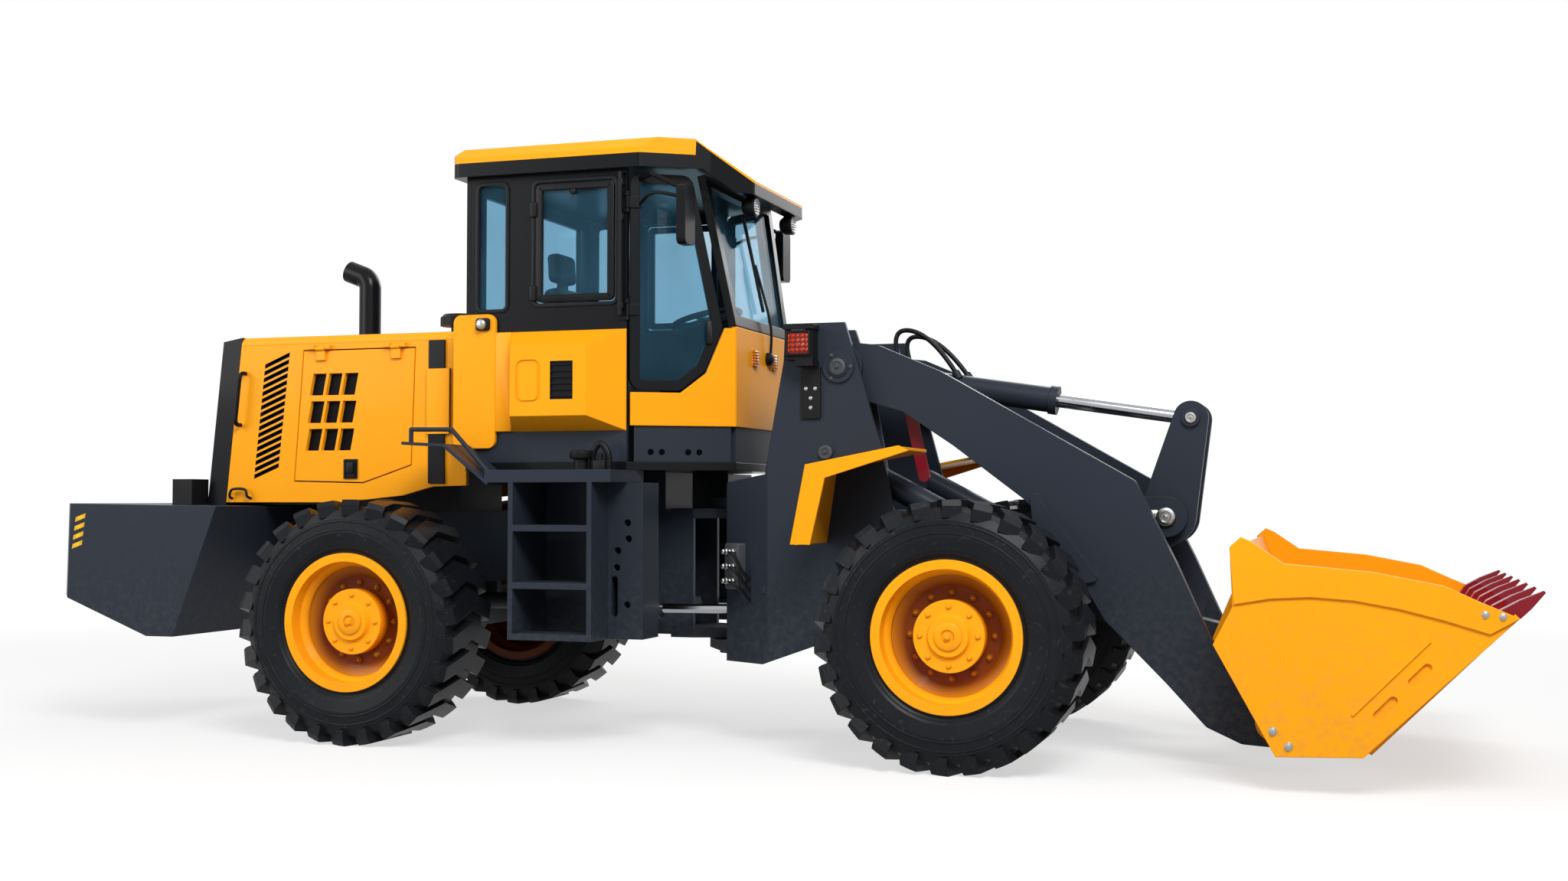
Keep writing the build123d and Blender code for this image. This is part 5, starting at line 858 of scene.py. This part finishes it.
def cab_lamps() -> None:
    """Fit amber markers to the nose, bright lamps to the shoulders and work lamps under the visor."""
    piece("nose_markers", both([MARKER.on(MARKER_SPOT)]), AMBER_LENS, "rear_frame")
    cases = both([SHOULDER_CASE.on(SHOULDER_SPOT), turned(WORK_SPOT, WORK_CASE)])
    piece("small_lamp_cases", cases + WORK_STEMS, PLASTIC, "rear_frame")
    piece("shoulder_lamps", both([turned(SHOULDER_SPOT, SHOULDER_LAMP)]), STEEL, "rear_frame")
    piece("visor_lamp_lenses", both([turned(WORK_SPOT, WORK_LENS)]), CLEAR_LENS, "rear_frame")


# Cab doors: the outer face runs straight ahead from the foot of the rear post
DOOR_FACE = Spot((-1.640, CAB_HALF, 0.0), (0.83205, -0.5547, 0.0), UP, (0.5547, 0.83205, 0.0))
HANDLE = Plate(0.030, 0.120, 0.012, depth=0.020, bevel=0.006)
HANDLE_SPOT = DOOR_FACE.moved(0.405, 1.99, 0.0)
MIRROR_PANE = Plate(0.104, 0.252, 0.026, depth=0.0022, bevel=0.001)
MIRROR_SPOT = end_spot(-1.352, 0.745, 2.528, -1.0)
STAY_ROOT = DOOR_FACE.moved(0.06, 2.60, 0.0).origin
STAYS = bars((STAY_ROOT, (-1.492, 0.749, 2.643), (-1.330, 0.745, 2.613)), radius=0.009)


def cab_doors() -> None:
    """Fit mirror glass, a second mirror stay and a handle to each cab door."""
    panes = both([MIRROR_PANE.on(MIRROR_SPOT)])
    handles = both([HANDLE.on(HANDLE_SPOT)])
    for side, pane, handle, stay in zip(SIDES, panes, handles, STAYS):
        piece(f"mirror_glass_{side}", [pane], MIRROR, f"cab_door_{side}")
        piece(f"mirror_stay_{side}", [stay, handle], PLASTIC, f"cab_door_{side}")


# Right platform: the filler cap, and beside it a fitting with an elbow of pipe
CAP_SPOT = top_spot(-1.817, -0.850, 1.320)
FILLER_CAP = ((0.034, -0.002), (0.034, 0.050), (0.052, 0.054), (0.055, 0.062), (0.055, 0.084), (0.048, 0.092),
              (0.020, 0.095))
FITTING_SPOT = CAP_SPOT.moved(0.10, 0.0, 0.0)
FITTING = Plate(0.060, 0.050, 0.006, depth=0.045, bevel=0.004)
FITTING_NUT = ((0.018, 0.040), (0.018, 0.075), (0.012, 0.080))
ELBOW = tube(CAP_SPOT.carry([(0.045, 0.03, -0.005), (0.05, 0.03, 0.08), (0.085, 0.03, 0.125),
                             (0.125, 0.03, 0.08), (0.13, 0.03, -0.005)]), radius=0.016)
# Hinge: a valve block on the slanted wall of the front frame; each higher pipe drops by one step more
VALVE_SPOT = Spot((-1.150, -0.487, 0.860), (0.859, -0.512, 0.0), UP, (-0.512, -0.859, 0.0))
VALVE = Plate(0.10, 0.22, 0.010, depth=0.054, bevel=0.006)
VALVE_SUNK = 0.004
UNION = ((0.017, -0.004), (0.017, 0.016), (0.013, 0.018), (0.013, 0.034), (0.009, 0.038))
UNION_SEAT = 0.05
UNION_COLUMNS = (-0.024, 0.024)
UNION_ROWS = (-0.07, 0.0, 0.07)
PIPE = np.array([(0.024, 0.0, 0.070), (0.030, -0.004, 0.084), (0.056, -0.016, 0.078), (0.075, -0.05, 0.045),
                 (0.082, -0.10, -0.004)])
PIPE_DROP = np.array([(0.0, 0.0, 0.0)] * 3 + [(0.0, -0.02, 0.0)] * 2)
PIPE_RADIUS = 0.008
TAIL_LENS = Plate(0.118, 0.096, 0.014, depth=0.008, bevel=0.005)
TAIL_LENS_OUT = 0.63


def frame_trim() -> None:
    """Fit the right platform, the hinge and the tail lamps."""
    piece("filler_cap", [turned(CAP_SPOT, FILLER_CAP, sides=36)], PLASTIC, "rear_frame")
    fitting = [FITTING.on(FITTING_SPOT), turned(FITTING_SPOT, FITTING_NUT, sides=6)]
    piece("platform_fitting", fitting + [ELBOW], PLASTIC, "rear_frame")
    block = VALVE.on(VALVE_SPOT.moved(0.0, 0.0, -VALVE_SUNK))
    piece("valve_block", [block], IRON, "front_frame")
    unions = [turned(VALVE_SPOT.moved(*place, UNION_SEAT), UNION, sides=6)
              for place in product(UNION_COLUMNS, UNION_ROWS)]
    piece("valve_unions", unions, STEEL, "front_frame")
    pipes = [tube(VALVE_SPOT.moved(0.0, up, 0.0).carry(PIPE + rank * PIPE_DROP), PIPE_RADIUS)
             for rank, up in enumerate(UNION_ROWS)]
    piece("valve_pipes", pipes, PLASTIC, "front_frame")
    low, high = (np.array(corner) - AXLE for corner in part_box("rear_lamps"))
    tail = end_spot(low[0], TAIL_LENS_OUT, (low[2] + high[2]) / 2, -1.0)
    piece("tail_lamp_lenses", both([TAIL_LENS.on(tail)]), RED_LENS, "rear_frame")


# Hoses: their diameter and the height of the ports above the cylinder's axis
HOSE_DIAMETER = 0.024
PORT_HEIGHT = 0.072


@dataclass(frozen=True)
class Hose:
    """Hose over the tilt cylinder: four control points along its axis, and the height of the middle two."""

    y: float
    along: tuple[float, float, float, float]
    top: float

    def points(self) -> Array:
        """Control points: along the line from the cylinder's base to its eye, and above it."""
        run = np.array([ROCKER_TOP[0] - ARM_PIVOT[0], 0.0, ROCKER_TOP[1] - ARM_PIVOT[1]])
        ahead = run / np.linalg.norm(run)
        above = np.array([-ahead[2], 0.0, ahead[0]])
        height = np.array([PORT_HEIGHT, self.top, self.top, PORT_HEIGHT])
        base = np.array([ARM_PIVOT[0], self.y, ARM_PIVOT[1]]) + AXLE
        return base + np.array(self.along)[:, None] * ahead + height[:, None] * above


HOSES = (Hose(-0.040, (0.150, 0.060, 0.280, 0.430), 0.245), Hose(0.040, (0.190, 0.100, 0.320, 0.470), 0.225))


def tilt_hoses() -> None:
    """Lay two hydraulic hoses that arch from port to port, in place of the solid ones."""
    for number, hose in enumerate(HOSES, 1):
        points = hose.points()
        name = f"tilt_hose_{number}"
        curve = bpy.data.curves.new(name, "CURVE")
        curve.dimensions = "3D"
        line = curve.splines.new("NURBS")
        line.points.add(len(points) - 1)
        line.points.foreach_set("co", np.insert(points, 3, 1.0, axis=1).ravel())
        line.order_u = 3
        line.use_endpoint_u = True
        line.resolution_u = 24
        curve.bevel_depth = HOSE_DIAMETER / 2
        curve.bevel_resolution = 4
        curve.use_fill_caps = True
        thing = link(name, curve)
        dress(thing, RUBBER)
        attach(thing, "tilt_barrel")
        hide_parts("tilt_hoses")


@dataclass(frozen=True)
class Pad:
    """One cushion: its middle, size along x, y and z, lean about y in degrees, and how far it may swell."""

    name: str
    middle: Point
    size: Point
    lean: float
    swell: float

    def form(self, sides: int = 64, rings: int = 33) -> Patch:
        """Closed pillow: a ball whose cosines and sines are nearly cube roots, so that it fills a box."""
        around = np.linspace(-pi, pi, sides, endpoint=False)
        climb = np.linspace(-0.495 * pi, 0.495 * pi, rings)
        wave = [np.cos(around), np.sin(around), np.cos(climb), np.sin(climb)]
        right, up, wide, tall = (np.sign(part) * np.abs(part) ** 0.33 for part in wave)
        half = np.array(self.size) / 2
        plane = wide[:, None, None] * np.stack([right, up], axis=1) * half[:2]
        cosine, sine = np.cos(radians(self.lean)), np.sin(radians(self.lean))
        spot = Spot(self.middle, (cosine, 0.0, -sine), LEFT, (sine, 0.0, cosine))
        return swept(spot, plane, tall[:, None] * half[2], False)


PADS = (Pad("seat_cushion", (-2.030, 0.0, 1.742), (0.440, 0.460, 0.088), lean=0.0, swell=0.010),
        Pad("back_cushion", (-2.270, 0.0, 2.030), (0.096, 0.440, 0.540), lean=-8.0, swell=0.010),
        Pad("headrest", (-2.322, 0.0, 2.400), (0.070, 0.240, 0.155), lean=-4.0, swell=0.007))
PAD_VOXEL = 0.008
PAD_PRESSURE = 4.0
SWELL_FRAMES = 20
SEAT_BASE = Plate(0.230, 0.360, 0.020, depth=0.322, bevel=0.006)
SEAT_PAN = Plate(0.440, 0.450, 0.040, depth=0.022, bevel=0.006)
HEADREST_POST = Plate(0.020, 0.110, 0.008, depth=0.085, bevel=0.004)
BACK_POST = Plate(0.040, 0.300, 0.012, depth=0.120, bevel=0.004)
SEAT_PLACES = {SEAT_BASE: (-2.075, 0.0, 1.360), SEAT_PAN: (-2.030, 0.0, 1.676),
               HEADREST_POST: (-2.318, 0.0, 2.255), BACK_POST: (-2.262, 0.0, 1.690)}


def swell(thing: bpy.types.Object, cap: float) -> None:
    """Even out a pad's mesh and puff it up by a short cloth run, no point further than the cap."""
    scene = bpy.context.scene
    bpy.context.view_layer.objects.active = thing
    even = thing.modifiers.new("even", "REMESH")
    even.mode = "VOXEL"
    even.voxel_size = PAD_VOXEL
    mesh = bpy.data.meshes.new_from_object(thing.evaluated_get(bpy.context.evaluated_depsgraph_get()))
    thing.modifiers.remove(even)
    thing.data = mesh
    start = np.empty(3 * len(mesh.vertices))
    mesh.vertices.foreach_get("co", start)
    cloth = thing.modifiers.new("swell", "CLOTH")
    cloth.settings.use_pressure = True
    cloth.settings.uniform_pressure_force = PAD_PRESSURE
    cloth.settings.effector_weights.gravity = 0.0
    for number in range(1, SWELL_FRAMES + 1):
        scene.frame_set(number)
    swollen = thing.evaluated_get(bpy.context.evaluated_depsgraph_get())
    moved = np.empty_like(start)
    swollen.to_mesh().vertices.foreach_get("co", moved)
    swollen.to_mesh_clear()
    thing.modifiers.remove(cloth)
    scene.frame_set(1)
    step = (moved - start).reshape(-1, 3)
    reach = np.linalg.norm(step, axis=1, keepdims=True)
    step *= np.minimum(1.0, cap / np.maximum(reach, 1e-9))
    mesh.vertices.foreach_set("co", (start.reshape(-1, 3) + step).ravel())
    mesh.polygons.foreach_set("use_smooth", np.ones(len(mesh.polygons), dtype=bool))
    mesh.update()


def operator_seat() -> None:
    """Make the padded seat, back and headrest on a pedestal, in place of the plain seat."""
    posts = [plate.on(top_spot(*place)) for plate, place in SEAT_PLACES.items()]
    pedestal = piece("seat_pedestal", posts, PLASTIC, "rear_frame")
    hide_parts("seat")
    for pad in PADS:
        thing = piece(pad.name, [pad.form()], LEATHER, "rear_frame")
        swell(thing, pad.swell)
        dress(thing, LEATHER)
        smooth = thing.modifiers.new("smooth", "SUBSURF")
        smooth.levels = smooth.render_levels = 1
        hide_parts("seat")


# Studio: the camera as in the photograph, the floor and the light
CAMERA_PLACE = (2.7924, -8.385, 1.1809)
CAMERA_YAW = 17.967
CAMERA_PITCH = 1.939
CAMERA_LENS = 39.85
SENSOR_WIDTH = 36.0
VIEW_REACH = 300.0
FLOOR_HALF = 90.0
FLOOR_TINT = (0.92, 0.92, 0.92)
BOUNCE_TINT = (0.42, 0.42, 0.42)
WHITE = (1.0, 1.0, 1.0, 1.0)
NEAR_WHITE = 0.60
CLEAR_RADIUS = 7.0
CLEAR_BLUR = 6.0
SURROUND = 0.34


def camera() -> None:
    """Stand the camera where the photograph was taken."""
    data = bpy.data.cameras.new("photo_camera")
    data.sensor_width = SENSOR_WIDTH
    data.lens = CAMERA_LENS
    data.clip_end = VIEW_REACH
    thing = link("photo_camera", data)
    thing.location = CAMERA_PLACE
    thing.rotation_euler = (radians(90.0 + CAMERA_PITCH), 0.0, radians(CAMERA_YAW))
    bpy.context.scene.camera = thing


def floor() -> None:
    """Lay one large pale sheet that keeps a soft shadow near the machine and is white beyond it."""
    mesh = bpy.data.meshes.new("floor")
    corners = [(right, ahead, 0.0) for right, ahead in ((-1, -1), (1, -1), (1, 1), (-1, 1))]
    mesh.from_pydata((FLOOR_HALF * np.array(corners)).tolist(), [], [(0, 1, 2, 3)])
    sheet = link("floor", mesh)
    graph = Graph("pale_floor")
    pale = graph.blend(graph.noise(scale=1.5), FLOOR_TINT, scaled(FLOOR_TINT, 0.99))
    tint = graph.blend(graph.ray("Camera"), BOUNCE_TINT, pale)
    matte = graph.node("ShaderNodeBsdfDiffuse", {"Color": tint})
    white = graph.node("ShaderNodeEmission", {"Color": WHITE, "Strength": 1.0})
    x, y = graph.axis("X"), graph.axis("Y")
    away = graph.math("POWER", x * x + y * y, 0.5)
    far = NEAR_WHITE + (1.0 - NEAR_WHITE) * away.above(CLEAR_RADIUS, CLEAR_BLUR)
    shown = graph.node("ShaderNodeMixShader", {0: graph.seen() * far, 1: matte, 2: white})
    mesh.materials.append(graph.close(shown))


def surroundings() -> None:
    """Even white surroundings, seen as plain white and lighting the machine softly."""
    graph = Graph("studio", bpy.data.worlds)
    strength = SURROUND + (1.0 - SURROUND) * graph.seen()
    shade = graph.node("ShaderNodeBackground", {"Color": WHITE, "Strength": strength})
    bpy.context.scene.world = graph.close(shade, "World")


def lamp(name: str, place: Point, aim: Point, size: float, power: float) -> None:
    """Hang one soft square lamp of a side length and a power in watts, which looks at a point."""
    data = bpy.data.lights.new(name, "AREA")
    data.shape = "SQUARE"
    data.size = size
    data.energy = power
    thing = link(name, data)
    thing.location = place
    thing.rotation_euler = (Vector(aim) - Vector(place)).to_track_quat("-Z", "Y").to_euler()


def studio() -> None:
    """Set up camera, floor, surroundings and lamps."""
    bpy.context.scene.view_settings.view_transform = "Standard"
    camera()
    floor()
    surroundings()
    lamp("key_lamp", (4.0, -7.0, 7.5), aim=(0.0, 0.0, 1.0), size=4.0, power=900.0)
    lamp("fill_lamp", (-7.0, -6.0, 4.5), aim=(-1.0, 0.0, 1.2), size=5.0, power=330.0)
    lamp("back_lamp", (0.0, 7.0, 6.0), aim=(0.0, 0.0, 1.0), size=5.0, power=350.0)


def main() -> None:
    """Set up the studio, dress the machine and add its fittings."""
    studio()
    dress_nodes()
    for fit in (tilt_hoses, wheel_trim, bucket_trim, pin_caps, tower_lamps, hood_trim, cab_sides,
                screen_wiper, cab_lamps, cab_doors, frame_trim, operator_seat):
        fit()


if __name__ == "__main__":
    main()
